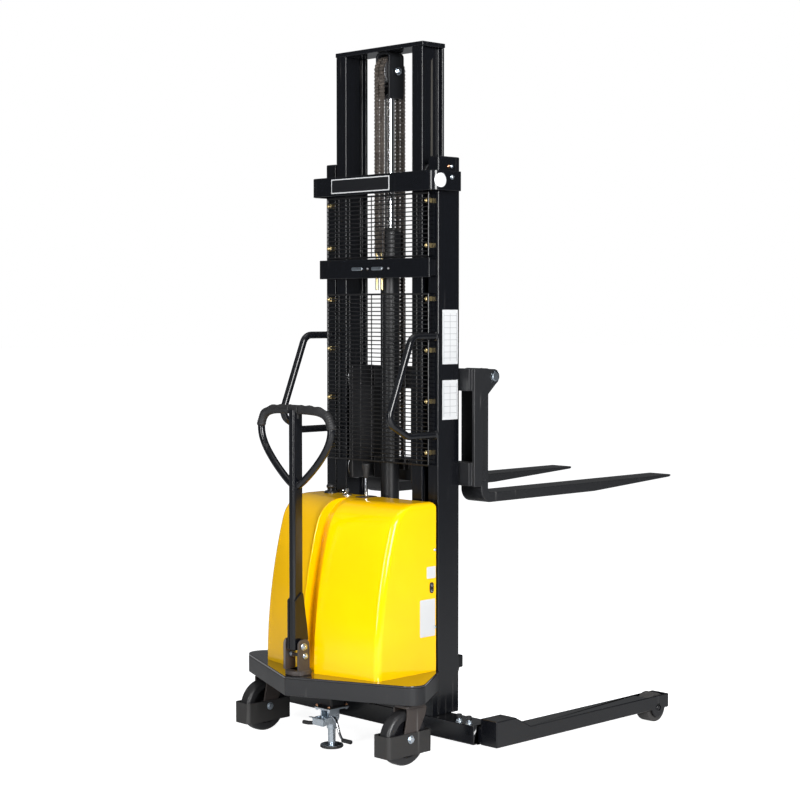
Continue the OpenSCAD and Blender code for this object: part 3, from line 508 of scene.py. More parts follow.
def sleeve(bm, outer, inner, low, high):
    # a wall between two outlines
    loft(bm, [[Vector((x, y, z)) for x, y in o] for o, z in
              ((outer, low), (outer, high), (inner, high), (inner, low), (outer, low))], True)
    bmesh.ops.remove_doubles(bm, verts=bm.verts, dist=1e-6)


def arcPoints(cx, cy, r, start, end, steps):
    return [(cx + r * math.cos(math.radians(start + (end - start) * i / steps)),
             cy + r * math.sin(math.radians(start + (end - start) * i / steps))) for i in range(steps + 1)]


# Geometry Nodes: one part set on many places, and links along a path
def template(name, bm, smooth=False):
    bmesh.ops.recalc_face_normals(bm, faces=bm.faces)
    mesh = bpy.data.meshes.new(name)
    bm.to_mesh(mesh)
    bm.free()
    for p in mesh.polygons:
        p.use_smooth = smooth
    return bpy.data.objects.new(name, mesh)


def newTree(name, extra):
    tree = bpy.data.node_groups.new(name, "GeometryNodeTree")
    tree.interface.new_socket(name="Geometry", in_out="INPUT", socket_type="NodeSocketGeometry")
    for label, kind, value in extra:
        s = tree.interface.new_socket(name=label, in_out="INPUT", socket_type=kind)
        if value is not None:
            s.default_value = value
    tree.interface.new_socket(name="Geometry", in_out="OUTPUT", socket_type="NodeSocketGeometry")
    return tree, tree.nodes.new("NodeGroupInput"), tree.nodes.new("NodeGroupOutput")


def setOnPlaces():
    tree, gin, gout = newTree("setOnPlaces", [
        ("Part", "NodeSocketObject", None), ("Size", "NodeSocketFloat", 1.0),
        ("Finish", "NodeSocketMaterial", None)])
    n, l = tree.nodes, tree.links
    part = n.new("GeometryNodeObjectInfo")
    facing = n.new("GeometryNodeInputNamedAttribute")
    facing.data_type = "FLOAT_VECTOR"
    facing.inputs["Name"].default_value = "facing"
    scale = n.new("GeometryNodeInputNamedAttribute")
    scale.data_type = "FLOAT"
    scale.inputs["Name"].default_value = "scale"
    times = n.new("ShaderNodeMath")
    times.operation = "MULTIPLY"
    align = n.new("FunctionNodeAlignRotationToVector")
    align.axis = "Z"
    place = n.new("GeometryNodeInstanceOnPoints")
    real = n.new("GeometryNodeRealizeInstances")
    paintIt = n.new("GeometryNodeSetMaterial")
    l.new(gin.outputs["Part"], part.inputs["Object"])
    l.new(facing.outputs["Attribute"], align.inputs["Vector"])
    l.new(scale.outputs["Attribute"], times.inputs[0])
    l.new(gin.outputs["Size"], times.inputs[1])
    l.new(gin.outputs["Geometry"], place.inputs["Points"])
    l.new(part.outputs["Geometry"], place.inputs["Instance"])
    l.new(align.outputs["Rotation"], place.inputs["Rotation"])
    l.new(times.outputs[0], place.inputs["Scale"])
    l.new(place.outputs["Instances"], real.inputs["Geometry"])
    l.new(real.outputs["Geometry"], paintIt.inputs["Geometry"])
    l.new(gin.outputs["Finish"], paintIt.inputs["Material"])
    l.new(paintIt.outputs["Geometry"], gout.inputs["Geometry"])
    return tree


def linksOnPath():
    tree, gin, gout = newTree("linksOnPath", [
        ("Outer", "NodeSocketObject", None), ("Inner", "NodeSocketObject", None),
        ("Count", "NodeSocketInt", 10), ("Finish", "NodeSocketMaterial", None)])
    n, l = tree.nodes, tree.links
    path = n.new("GeometryNodeMeshToCurve")
    evenly = n.new("GeometryNodeResampleCurve")
    tangent = n.new("GeometryNodeInputTangent")
    align = n.new("FunctionNodeAlignRotationToVector")
    align.axis = "Z"
    align.pivot_axis = "X"
    number = n.new("GeometryNodeInputIndex")
    odd = n.new("ShaderNodeMath")
    odd.operation = "MODULO"
    odd.inputs[1].default_value = 2.0
    join = n.new("GeometryNodeJoinGeometry")
    real = n.new("GeometryNodeRealizeInstances")
    paintIt = n.new("GeometryNodeSetMaterial")
    l.new(gin.outputs["Geometry"], path.inputs["Mesh"])
    l.new(path.outputs["Curve"], evenly.inputs["Curve"])
    l.new(gin.outputs["Count"], evenly.inputs["Count"])
    l.new(tangent.outputs["Tangent"], align.inputs["Vector"])
    l.new(number.outputs["Index"], odd.inputs[0])
    even = n.new("ShaderNodeMath")
    even.operation = "SUBTRACT"
    even.inputs[0].default_value = 1.0
    l.new(odd.outputs[0], even.inputs[1])
    for label, choose in (("Outer", odd), ("Inner", even)):
        part = n.new("GeometryNodeObjectInfo")
        place = n.new("GeometryNodeInstanceOnPoints")
        l.new(gin.outputs[label], part.inputs["Object"])
        l.new(evenly.outputs["Curve"], place.inputs["Points"])
        l.new(choose.outputs[0], place.inputs["Selection"])
        l.new(part.outputs["Geometry"], place.inputs["Instance"])
        l.new(align.outputs["Rotation"], place.inputs["Rotation"])
        l.new(place.outputs["Instances"], join.inputs["Geometry"])
    l.new(join.outputs["Geometry"], real.inputs["Geometry"])
    l.new(real.outputs["Geometry"], paintIt.inputs["Geometry"])
    l.new(gin.outputs["Finish"], paintIt.inputs["Material"])
    l.new(paintIt.outputs["Geometry"], gout.inputs["Geometry"])
    return tree


def wireGuardTree():
    tree, gin, gout = newTree("wireGuard", [
        ("Width", "NodeSocketFloat", 0.5), ("Height", "NodeSocketFloat", 0.5),
        ("Rows", "NodeSocketInt", 10), ("Columns", "NodeSocketInt", 9),
        ("Wire", "NodeSocketFloat", 0.0016), ("Finish", "NodeSocketMaterial", None)])
    n, l = tree.nodes, tree.links
    join = n.new("GeometryNodeJoinGeometry")
    ring = n.new("GeometryNodeCurvePrimitiveCircle")
    ring.inputs["Resolution"].default_value = 8
    l.new(gin.outputs["Wire"], ring.inputs["Radius"])

    def maths(op, a, b):
        m = n.new("ShaderNodeMath")
        m.operation = op
        for i, v in enumerate((a, b)):
            if isinstance(v, (int, float)):
                m.inputs[i].default_value = v
            else:
                l.new(v, m.inputs[i])
        return m.outputs[0]

    def vector(**parts):
        c = n.new("ShaderNodeCombineXYZ")
        for key, v in parts.items():
            l.new(v, c.inputs[key.upper()])
        return c.outputs[0]

    wide, tall = gin.outputs["Width"], gin.outputs["Height"]
    halfWide, halfTall = maths("MULTIPLY", wide, 0.5), maths("MULTIPLY", tall, 0.5)
    left, low = maths("MULTIPLY", wide, -0.5), maths("MULTIPLY", tall, -0.5)
    behind = maths("MULTIPLY", gin.outputs["Wire"], 1.7)
    for count, along, across in (("Rows", (left, halfWide, "x"), (low, tall, "z")),
                                 ("Columns", (low, halfTall, "z"), (left, wide, "x"))):
        start, end, axis = along
        first, reach, stepAxis = across
        wire = n.new("GeometryNodeCurvePrimitiveLine")
        l.new(vector(**{axis: start}), wire.inputs["Start"])
        l.new(vector(**{axis: end}), wire.inputs["End"])
        solid = n.new("GeometryNodeCurveToMesh")
        solid.inputs["Fill Caps"].default_value = True
        l.new(wire.outputs["Curve"], solid.inputs["Curve"])
        l.new(ring.outputs["Curve"], solid.inputs["Profile Curve"])
        step = maths("DIVIDE", reach, maths("SUBTRACT", gin.outputs[count], 1))
        row = n.new("GeometryNodeMeshLine")
        l.new(gin.outputs[count], row.inputs["Count"])
        depth = {"y": behind} if count == "Columns" else {}
        l.new(vector(**{stepAxis: first}, **depth), row.inputs["Start Location"])
        l.new(vector(**{stepAxis: step}), row.inputs["Offset"])
        place = n.new("GeometryNodeInstanceOnPoints")
        l.new(row.outputs["Mesh"], place.inputs["Points"])
        l.new(solid.outputs["Mesh"], place.inputs["Instance"])
        l.new(place.outputs["Instances"], join.inputs["Geometry"])
    real = n.new("GeometryNodeRealizeInstances")
    smooth = n.new("GeometryNodeSetShadeSmooth")
    paintIt = n.new("GeometryNodeSetMaterial")
    l.new(join.outputs["Geometry"], real.inputs["Geometry"])
    l.new(real.outputs["Geometry"], smooth.inputs["Geometry"])
    l.new(smooth.outputs["Geometry"], paintIt.inputs["Geometry"])
    l.new(gin.outputs["Finish"], paintIt.inputs["Material"])
    l.new(paintIt.outputs["Geometry"], gout.inputs["Geometry"])
    return tree


trees = {"places": setOnPlaces(), "links": linksOnPath(), "guard": wireGuardTree()}


def growMesh(name, points, edges, tree, inputs, attributes=None):
    # runs a tree on a few points and leaves a plain mesh, already in place
    mesh = bpy.data.meshes.new(name)
    mesh.from_pydata([tuple(p) for p in points], edges, [])
    for key, (kind, values) in (attributes or {}).items():
        layer = mesh.attributes.new(key, kind, "POINT")
        for item, v in zip(layer.data, values):
            if kind == "FLOAT":
                item.value = v
            else:
                item.vector = v
    piece = bpy.data.objects.new(name, mesh)
    bpy.context.scene.collection.objects.link(piece)
    grow = piece.modifiers.new("grow", "NODES")
    grow.node_group = trees[tree]
    socket = {s.name: s.identifier for s in trees[tree].interface.items_tree if s.in_out == "INPUT"}
    for key, v in inputs.items():
        grow[socket[key]] = v
    bakeShape(piece)
    return piece


def setParts(name, part, places, mat, body, size=1.0):
    # places: (point, facing, scale)
    piece = growMesh(name, [p for p, f, s in places], [], "places",
                     {"Part": part, "Size": size, "Finish": mats[mat]},
                     {"facing": ("FLOAT_VECTOR", [f for p, f, s in places]),
                      "scale": ("FLOAT", [s for p, f, s in places])})
    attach(piece, body)
    return piece


def hexBolt(name, head=0.0085, tall=0.0055, washer=0.0105):
    bm = bmesh.new()
    disc = [(washer, 0), (washer, 0.0012), (washer - 0.0008, 0.0018), (head * 0.9, 0.0018)]
    hexagon = [(head, 0.0016), (head, 0.0016 + tall * 0.85), (head * 0.86, 0.0016 + tall), (0, 0.0016 + tall)]
    end = [(head * 0.42, tall + 0.0014), (head * 0.42, tall + 0.0032), (head * 0.3, tall + 0.0042),
           (0, tall + 0.0042)]
    for profile, steps in ((disc, 18), (hexagon, 6), (end, 12)):
        lathe(bm, profile, (0, 0, 0), (0, 0, 1), steps)
    return template(name, bm)


def domeScrew(name, head=0.0045):
    bm = bmesh.new()
    lathe(bm, [(head, 0), (head, 0.0008), (head * 0.85, 0.0020), (head * 0.5, 0.0027), (head * 0.42, 0.0026),
               (head * 0.4, 0.0012), (0, 0.0012)], (0, 0, 0), (0, 0, 1), 14)
    return template(name, bm, True)


bolt = hexBolt("hexBolt")
screw = domeScrew("domeScrew")
print("helpers ready")


# mast
mast = {"railEdge": 0.0045, "innerEdge": 0.0028, "barEdge": 0.0022}
for side in ("left", "right"):
    restyle("outer_mast_" + side, "mastBlack", mast["railEdge"], 3)
    restyle("inner_mast_" + side, "mastBlack", mast["innerEdge"], 2)
restyle("inner_top_plate", "mastBlack", 0.0022)
restyle("inner_tie", "mastBlack", 0.0015)
restyle("top_strap", "mastBlack", 0.0018)
restyle("mid_bar", "mastBlack", mast["barEdge"])
restyle("bulkhead", "mastBlack", 0.0015)
restyle("cross_tube", "mastBlack", 0.005, 3)
restyle("sheave_bracket", "satinBlack", 0.0015)
restyle("guard_clips", "yellowZinc", 0.0010)
restyle("chain_studs", "yellowZinc", 0.0006)
restyle("deck_rails", "satinBlack", 0.0015)
restyle("cylinder_tube", "satinBlack", 0.001)
restyle("cylinder_gland", "satinBlack", 0.003)
restyle("piston_rod", "chrome", 0.0)
restyle("pressure_pipe", "satinBlack", 0.0)
restyle("pump_motor", "satinBlack", 0.003)
restyle("oil_tank", "satinBlack", 0.008, 3)
restyle("battery", "batteryCase", 0.006, 3)
print("mast ready")


# wire guards
guard = {"wire": 0.0019, "rim": 0.0028, "rows": {"upper": 15, "lower": 41}, "columns": 10}
for level, rows in guard["rows"].items():
    low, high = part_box("guard_" + level)
    mesh = growMesh("guardWires_" + level, [(0, 0, 0)], [], "guard",
                    {"Width": high.x - low.x - 0.004, "Height": high.z - low.z - 0.004, "Rows": rows,
                     "Columns": guard["columns"], "Wire": guard["wire"], "Finish": mats["wireBlack"]})
    middle = ((low.x + high.x) / 2, low.y + guard["wire"], (low.z + high.z) / 2)
    mesh.data.transform(Matrix.Translation(middle))
    rim = bmesh.new()
    corners = [(low.x, low.z), (high.x, low.z), (high.x, high.z), (low.x, high.z)]
    for a, b in zip(corners, corners[1:] + corners[:1]):
        ends = [Vector((x, high.y - 0.001, z)) for x, z in (a, b)]
        sweep(rim, ends, guard["rim"], 10)
    putDown("guardRim_" + level, rim, "wireBlack", "chassis", slotOf["guard_" + level])
    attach(mesh, "chassis")
    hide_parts("guard_" + level)
print("guards ready")


# chains and sheaves
chain = {"pitch": 0.0127, "plate": 0.0019, "waist": 0.0046, "eye": 0.0058, "pin": 0.0026}


def linkPlate(bm, x):
    half = chain["pitch"] / 2
    outline = []
    for sign in (1, -1):
        for u, v in arcPoints(0, 0, chain["eye"], -60, 240, 8):
            outline.append((sign * u, sign * (half + v)))
        outline.append((-sign * chain["waist"], 0))
    extrude(bm, outline, x - chain["plate"] / 2, x + chain["plate"] / 2, "x")


def chainLink(name, plates, withPins):
    bm = bmesh.new()
    for x in plates:
        linkPlate(bm, x)
    if withPins:
        for z in (-chain["pitch"] / 2, chain["pitch"] / 2):
            lathe(bm, [(0, -0.0088), (chain["pin"], -0.0088), (chain["pin"], 0.0088), (0, 0.0088)],
                  (0, 0, z), (1, 0, 0), 8)
    return template(name, bm)


outerLink = chainLink("outerLink", (-0.0073, -0.0024, 0.0024, 0.0073), True)
innerLink = chainLink("innerLink", (-0.0049, 0.0, 0.0049), False)
sheaveLow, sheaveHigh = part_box("chain_sheaves")
sheaveMid = (sheaveLow + sheaveHigh) / 2
wrapLow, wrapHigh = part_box("chain_wraps")
wrapRadius = (wrapHigh.y - wrapLow.y) / 2 - 0.006


def chainRun(name, points):
    length = sum((Vector(b) - Vector(a)).length for a, b in zip(points, points[1:]))
    count = max(3, round(length / chain["pitch"]) + 1)
    if count % 2 == 0:
        count += 1
    return growMesh(name, points, [(i, i + 1) for i in range(len(points) - 1)], "links",
                    {"Outer": outerLink, "Inner": innerLink, "Count": count, "Finish": mats["chainSteel"]})


def joined(name, pieces):
    bm = bmesh.new()
    for p in pieces:
        bm.from_mesh(p.data)
        bpy.data.objects.remove(p)
    mesh = bpy.data.meshes.new(name)
    bm.to_mesh(mesh)
    bm.free()
    mesh.materials.append(mats["chainSteel"])
    piece = bpy.data.objects.new(name, mesh)
    bpy.context.scene.collection.objects.link(piece)
    return piece


chainXs = [wrapLow.x + 0.0085, wrapHigh.x - 0.0085]
for node, lowerEnd in (("chain_front_runs", "chassis"), ("chain_rear_runs", "carriage")):
    low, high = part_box(node)
    y = (low.y + high.y) / 2
    runs = [chainRun(f"{node}_{i}", [(x, y, low.z), (x, y, high.z)]) for i, x in enumerate(chainXs)]
    strand = joined(node + "_links", runs)
    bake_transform(strand)
    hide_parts(node)
over = [[(x, sheaveMid.y + wrapRadius * math.cos(math.pi * i / 24),
          sheaveMid.z + wrapRadius * math.sin(math.pi * i / 24))
         for i in range(25)] for x in chainXs]
wraps = joined("chain_wraps_links", [chainRun(f"wrap_{i}", p) for i, p in enumerate(over)])
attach(wraps, "inner_mast")
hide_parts("chain_wraps")
restyle("chain_sheaves", "rollerSteel", 0.0008)
for group in ("mast_rollers_upper", "mast_rollers_lower", "carriage_rollers_upper", "carriage_rollers_lower"):
    restyle(group, "rollerSteel", 0.0015)
print("chains ready")


# legs, load wheels and clamps
legs = {"edge": 0.004}
for side in ("left", "right"):
    restyle("leg_" + side, "mastBlack", legs["edge"], 3, 28)
    low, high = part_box("load_wheel_" + side)
    mid = (low + high) / 2
    r, hw = (high.z - low.z) / 2, (high.x - low.x) / 2
    half = [(0.0083, -hw), (0.020, -hw), (0.021, -hw + 0.003), (0.034, -hw + 0.003), (0.036, -hw),
            (r - 0.005, -hw), (r - 0.0015, -hw + 0.0015), (r, -hw + 0.005)]
    turned("loadRoller_" + side, "loadGrey", "load_wheel_" + side, half + flipped(half), mid, (1, 0, 0),
           48, True, replaces=("load_wheel_" + side,))

clamp = {"knurls": 20, "cap": 0.0095, "capTall": 0.013, "nut": 0.0100}
bm = bmesh.new()
nuts = bmesh.new()
clampLow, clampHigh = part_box("clamp_bolts")
crossLow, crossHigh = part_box("cross_tube")
crossTop = crossHigh.z
clampXs = [clampLow.x + 0.009, clampLow.x + 0.054, clampHigh.x - 0.054, clampHigh.x - 0.009]
clampY = (clampLow.y + clampHigh.y) / 2
for x in clampXs:
    k = clamp["knurls"]
    capRing = [polar(clamp["cap"] * (1.0 if i % 2 else 0.93), math.pi * i / k) for i in range(2 * k)]
    extrude(bm, capRing, clampHigh.z - clamp["capTall"], clampHigh.z, "z", (x, clampY, 0))
    lathe(nuts, [(0.0125, 0), (0.0125, 0.002), (0.0118, 0.0025), (0, 0.0025)], (x, clampY, crossTop),
          (0, 0, 1), 24)
    lathe(nuts, [(clamp["nut"], 0.0025), (clamp["nut"], 0.0095), (clamp["nut"] * 0.88, 0.0108), (0, 0.0108)],
          (x, clampY, crossTop), (0, 0, 1), 6)
    lathe(nuts, [(0.0055, 0.010), (0.0055, clampHigh.z - crossTop - clamp["capTall"])],
          (x, clampY, crossTop), (0, 0, 1), 16)
putDown("clampCaps", bm, "plasticBlack", "chassis", slotOf["clamp_bolts"], (), 0.0006)
putDown("clampNuts", nuts, "zinc", "chassis", None, ("clamp_bolts",))
print("legs ready")


# carriage and forks
restyle("carriage_frame", "forkBlack", 0.0025, 2)
restyle("fork_shaft", "zinc", 0.0015)
for side in ("left", "right"):
    restyle("fork_" + side, "forkBlack", 0.004, 3, 28)
print("forks ready")


# casters
caster = {"guardCorner": 0.014, "guardWall": 0.005, "guardHalf": 0.0385, "tyreRound": 0.014, "trail": 0.040,
          "plateX": 0.0275, "plate": 0.006}
for side in ("left", "right"):
    body = "caster_" + side
    wheelLow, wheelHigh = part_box("caster_wheel_" + side)
    mid = (wheelLow + wheelHigh) / 2
    r, hw = (wheelHigh.z - wheelLow.z) / 2, (wheelHigh.x - wheelLow.x) / 2
    wheel = "caster_wheel_" + side
    bend = caster["tyreRound"]
    half = [(0.062, -hw + 0.001), (0.0635, -hw)]
    half += [(r - bend + c, bend - hw - h) for c, h in arcPoints(0, 0, bend, 90, 0, 6)]
    turned("casterTyre_" + side, "tyreBlack", wheel, half + flipped(half), mid, (1, 0, 0), 56, True,
           replaces=(wheel,), angle=50)
    half = [(0.0072, -hw), (0.020, -hw), (0.0215, -hw + 0.0015), (0.024, -hw + 0.011), (0.054, -hw + 0.011),
            (0.058, -hw + 0.004)]
    turned("casterHub_" + side, "hubBlack", wheel,
           half + [(0.062, -hw + 0.003), (0.0625, hw - 0.003)] + flipped(half),
           mid, (1, 0, 0), 48, True, slot=slotOf[wheel])
    low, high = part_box("caster_fork_" + side)
    guardLow, guardHigh = mid.z - 0.053, mid.z + 0.020
    swivel = Vector((mid.x, mid.y + caster["trail"], 0))
    halfGuard, halfLong = caster["guardHalf"], mid.y - low.y
    box = bmesh.new()
    outer = roundRect(mid.x, mid.y, halfGuard, halfLong, caster["guardCorner"], 6)
    inner = roundRect(mid.x, mid.y, halfGuard - caster["guardWall"], halfLong - caster["guardWall"],
                      caster["guardCorner"] - caster["guardWall"] + 0.001, 6)
    sleeve(box, outer, inner, guardLow, guardHigh)
    putDown("casterGuard_" + side, box, "casterGrey", body, None, ("caster_fork_" + side,), 0.001, 2, 50)
    fork = bmesh.new()
    ear = [math.radians(-20 - 14 * i) for i in range(11)]
    plate = [(swivel.y - 0.050, 0.188), (swivel.y + 0.038, 0.188), (swivel.y + 0.034, 0.165),
             (mid.y + 0.028, mid.z - 0.006)]
    plate += [(mid.y + u, mid.z + v) for u, v in (polar(0.026, a) for a in ear)]
    plate += [(mid.y - 0.027, mid.z - 0.002), (swivel.y - 0.050, 0.165)]
    twin(fork, plate, mid.x, caster["plateX"], caster["plateX"] + caster["plate"])
    extrude(fork, roundRect(mid.x, swivel.y - 0.006, 0.0335, 0.044, 0.010, 5), 0.188, 0.198)
    lathe(fork, [(0.033, 0.198), (0.033, 0.2005), (0, 0.2005)], (swivel.x, swivel.y, 0), (0, 0, 1), 36)
    lathe(fork, [(0.012, 0.198), (0.012, 0.2485), (0, 0.2485)], (swivel.x, swivel.y, 0), (0, 0, 1), 28)
    putDown("casterFork_" + side, fork, "yokeBrown", body, slotOf["caster_fork_" + side], (), 0.0012)
    axle = bmesh.new()
    lathe(axle, [(0, low.x), (0.0068, low.x), (0.0068, high.x), (0, high.x)], (0, mid.y, mid.z),
          (1, 0, 0), 20)
    for s in (-1, 1):
        face = mid.x + s * halfGuard
        lathe(axle, [(0.0135, 0), (0.0135, 0.0016), (0.0128, 0.002), (0, 0.002)], (face, mid.y, mid.z),
              (s, 0, 0), 28)
        lathe(axle, [(0.0105, 0.0018), (0.0105, 0.0065), (0.0092, 0.0078), (0, 0.0078)],
              (face, mid.y, mid.z), (s, 0, 0), 6)
    putDown("casterAxle_" + side, axle, "zinc", body, "zinc_plate")
print("casters ready")


# deck and skirt
restyle("deck_plate", "deckBlack", 0.0022, 3)
restyle("deck_skirt", "skirtGrey", 0.0018, 2)
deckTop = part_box("deck_plate")[1].z


# cover
cover = {"bow": 1.760, "roll": 0.113, "skew": 12.8, "corner": 0.026, "sideRound": 0.020, "wall": 0.003,
         "grooveHalf": 0.030, "grooveDeep": 0.040, "grooveEdge": 0.0045, "rearRound": 0.020}
coverLow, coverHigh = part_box("cover")
coverTop, coverBase = coverHigh.z, coverLow.z
coverHalf, coverBack = coverHigh.x, coverHigh.y
slope = math.tan(math.radians(cover["skew"]))
noseY = coverLow.y - slope * cover["grooveHalf"]
rollTurn = math.asin((coverTop - cover["roll"] - coverBase) / (cover["bow"] - cover["roll"]))
rollStart = coverBase + cover["bow"] * math.sin(rollTurn)


def inset(z):
    # how far the front face lies back from the foot line at height z
    bow, roll = cover["bow"], cover["roll"]
    if z <= rollStart:
        return bow - math.sqrt(bow ** 2 - (z - coverBase) ** 2)
    deep = bow - (bow - roll) * math.cos(rollTurn)
    return deep - math.sqrt(max(0.0, roll ** 2 - (z - coverTop + roll) ** 2))


def pull(z):
    # how far the sides are drawn in at height z
    start = coverTop - cover["sideRound"]
    if z <= start:
        return 0.0
    return cover["sideRound"] - math.sqrt(max(0.0, cover["sideRound"] ** 2 - (z - start) ** 2))


def frontLine(x, back):
    return noseY + back / math.cos(math.radians(cover["skew"])) + slope * x


def halfOutline(z):
    back = inset(z)
    half = coverHalf - pull(z)
    e, g = cover["grooveEdge"], cover["grooveHalf"]
    pts = [(0.0, frontLine(0, back + cover["grooveDeep"]))]
    floor = frontLine(g, back + cover["grooveDeep"])
    lip = frontLine(g, back)
    for k in range(5):
        u, v = polar(e * 0.7, math.radians(-90 + 22.5 * k))
        pts.append((g - e * 0.7 + u, floor - e * 0.7 - v))
    for k in range(6):
        u, v = polar(e, math.radians(180 + 14.7 * k))
        pts.append((g + e + u, lip + e + slope * e + v))
    r = cover["corner"]
    sweepAngle = 90 - cover["skew"]
    cx = half - r
    cy = frontLine(cx, back) + r * (1 / math.cos(math.radians(cover["skew"])))
    startX = cx + r * math.cos(math.radians(-sweepAngle))
    for k in range(1, 8):
        x = g + e * 1.6 + (startX - g - e * 1.6) * k / 8
        pts.append((x, frontLine(x, back)))
    for k in range(13):
        u, v = polar(r, math.radians(-sweepAngle + sweepAngle * k / 12))
        pts.append((cx + u, cy + v))
    rear = coverBack
    drop = coverTop - z
    if drop < cover["rearRound"]:
        rear -= cover["rearRound"] - math.sqrt(max(0.0, cover["rearRound"] ** 2
                                                   - (cover["rearRound"] - drop) ** 2))
    for k in range(1, 7):
        pts.append((half, cy + (rear - cy) * k / 6))
    return pts


def fullOutline(z):
    right = halfOutline(z)
    left = [(-x, y) for x, y in right[:0:-1]]
    return [Vector((x, y, z)) for x, y in left + right]


bowSteps, rollSteps = 14, 22
heights = [coverBase, coverBase + 0.006]
heights += [coverBase + (rollStart - coverBase) * k / bowSteps for k in range(1, bowSteps + 1)]
for k in range(1, rollSteps + 1):
    angle = rollTurn + (math.pi / 2 - rollTurn) * k / rollSteps
    heights.append(coverTop - cover["roll"] + cover["roll"] * math.sin(angle))
bm = bmesh.new()
rows = loft(bm, [fullOutline(z) for z in heights])
bm.faces.new(rows[-1])
piece = putDown("coverShell", bm, "coverYellow", None)
piece.modifiers.clear()
wall = piece.modifiers.new("wall", "SOLIDIFY")
wall.thickness = cover["wall"]
wall.offset = -1.0
wall.use_even_offset = False
bakeShape(piece)
keyLow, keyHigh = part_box("switch_key")
leverLow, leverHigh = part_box("valve_lever")
slotTool = bmesh.new()
leverMid = (leverLow + leverHigh) / 2
extrude(slotTool, roundRect(leverMid.x, leverMid.y, 0.010, 0.024, 0.0098, 6), coverTop - 0.02,
        coverTop + 0.02)
toolMesh = bpy.data.meshes.new("slotTool")
slotTool.to_mesh(toolMesh)
slotTool.free()
tool = bpy.data.objects.new("slotTool", toolMesh)
bpy.context.scene.collection.objects.link(tool)
cut = piece.modifiers.new("slot", "BOOLEAN")
cut.object = tool
cut.solver = "EXACT"
bakeShape(piece)
bpy.data.objects.remove(tool)
for p in piece.data.polygons:
    p.use_smooth = True
soften(piece, 0.0, angle=38)
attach(piece, "chassis")
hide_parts("cover")

# screws, blank labels and a two-pin socket on the sides
rearScrews = []
for s in (-1, 1):
    for z in (0.682, 0.420):
        rearScrews.append(((s * (coverHalf + 0.0001), mastFace - 0.020, z), (s, 0, 0), 1.25))
setParts("coverScrews", screw, rearScrews, "zinc", "chassis")
plates = bmesh.new()
extrude(plates, roundRect(mastFace - 0.037, 0.607, 0.021, 0.020, 0.003, 3), coverHalf,
        coverHalf + 0.0007, "x")
extrude(plates, roundRect(mastFace - 0.054, 0.454, 0.036, 0.063, 0.004, 3), coverHalf,
        coverHalf + 0.0007, "x")
putDown("coverPlates", plates, "plateWhite", "chassis", "white_plate", (), 0.0003)
socketY, socketZ = mastFace - 0.036, 0.5555
bm = bmesh.new()
extrude(bm, roundRect(socketY, socketZ, 0.009, 0.0185, 0.0088, 5), coverHalf, coverHalf + 0.003, "x")
putDown("sideSocket", bm, "plasticBlack", "chassis", "black_plastic", (), 0.0008)
bm = bmesh.new()
for dz in (-0.0095, 0.0095):
    lathe(bm, [(0.0052, 0.003), (0.0052, 0.0038), (0.0036, 0.0040), (0.0034, 0.0026), (0, 0.0026)],
          (coverHalf, socketY, socketZ + dz), (1, 0, 0), 18)
putDown("sideSocketRings", bm, "chrome", "chassis", "chrome_steel")
print("cover ready")


# panel: key switch, stop button and lever
panel = {"ring": 0.0175, "bore": 0.0072, "neck": 0.0105, "deep": -0.040, "plug": 0.0069, "collar": 0.0235}
keyMid = (keyLow + keyHigh) / 2
stopLow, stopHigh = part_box("stop_button")
stopMid = (stopLow + stopHigh) / 2
keyFoot = Vector((keyMid.x, keyMid.y, coverTop))
stopFoot = Vector((stopMid.x, stopMid.y, coverTop))
stem = [(panel["bore"], panel["deep"]), (panel["neck"], panel["deep"]), (panel["neck"], 0)]
rim = [(panel["ring"], 0), (panel["ring"], 0.0022), (0.0145, 0.0040), (0.0090, 0.0040),
       (panel["bore"], 0.0030)]
turned("keyRing", "chrome", "chassis", stem + rim, keyFoot, closed=True, replaces=("panel_sockets",),
       angle=30)
rim = [(panel["collar"], 0), (panel["collar"], 0.0035), (0.0205, 0.0085), (0.0120, 0.0090),
       (panel["bore"], 0.0085)]
turned("stopCollar", "plasticBlack", "chassis", stem + rim, stopFoot, closed=True, slot="black_plastic",
       angle=30)
plug = panel["plug"]
bm = bmesh.new()
lathe(bm, [(0, -0.0295), (plug, -0.0295), (plug, 0.006), (0.0050, 0.0066), (0, 0.0066)], keyFoot,
      (0, 0, 1), 28)
bladeTop = keyHigh.z
extrude(bm, [(-0.004, coverTop + 0.006), (0.004, coverTop + 0.006), (0.004, bladeTop - 0.016),
             (-0.004, bladeTop - 0.016)],
        keyMid.x - 0.0011, keyMid.x + 0.0011, "x", (0, keyMid.y, 0))
bow = arcPoints(0, bladeTop - 0.0090, 0.0088, -90, 270, 20)[:-1]
hole = arcPoints(0, bladeTop - 0.0070, 0.0034, -90, 270, 20)[:-1]
for s in (-1, 1):
    ring = [bm.verts.new((keyMid.x + s * 0.0015, keyMid.y + u, v)) for u, v in bow]
    cutOut = [bm.verts.new((keyMid.x + s * 0.0015, keyMid.y + u, v)) for u, v in hole]
    if s < 0:
        first = (ring, cutOut)
    for i in range(len(bow)):
        j = (i + 1) % len(bow)
        bm.faces.new((ring[i], ring[j], cutOut[j], cutOut[i]))
for a, b in ((first[0], ring), (first[1], cutOut)):
    for i in range(len(bow)):
        j = (i + 1) % len(bow)
        bm.faces.new((a[i], a[j], b[j], b[i]))
putDown("key", bm, "chrome", "switch_key", None, ("switch_key",), 0.0004)
ring = {"radius": 0.016, "wire": 0.0009, "tilt": 0.32}
bm = bmesh.new()
loop = [Vector((keyMid.x + ring["radius"] * math.cos(a), keyMid.y + ring["radius"] * (math.sin(a) - 0.92),
                bladeTop - 0.0070 - ring["tilt"] * ring["radius"] * (1 - math.sin(a))))
        for a in (2 * math.pi * i / 36 for i in range(36))]
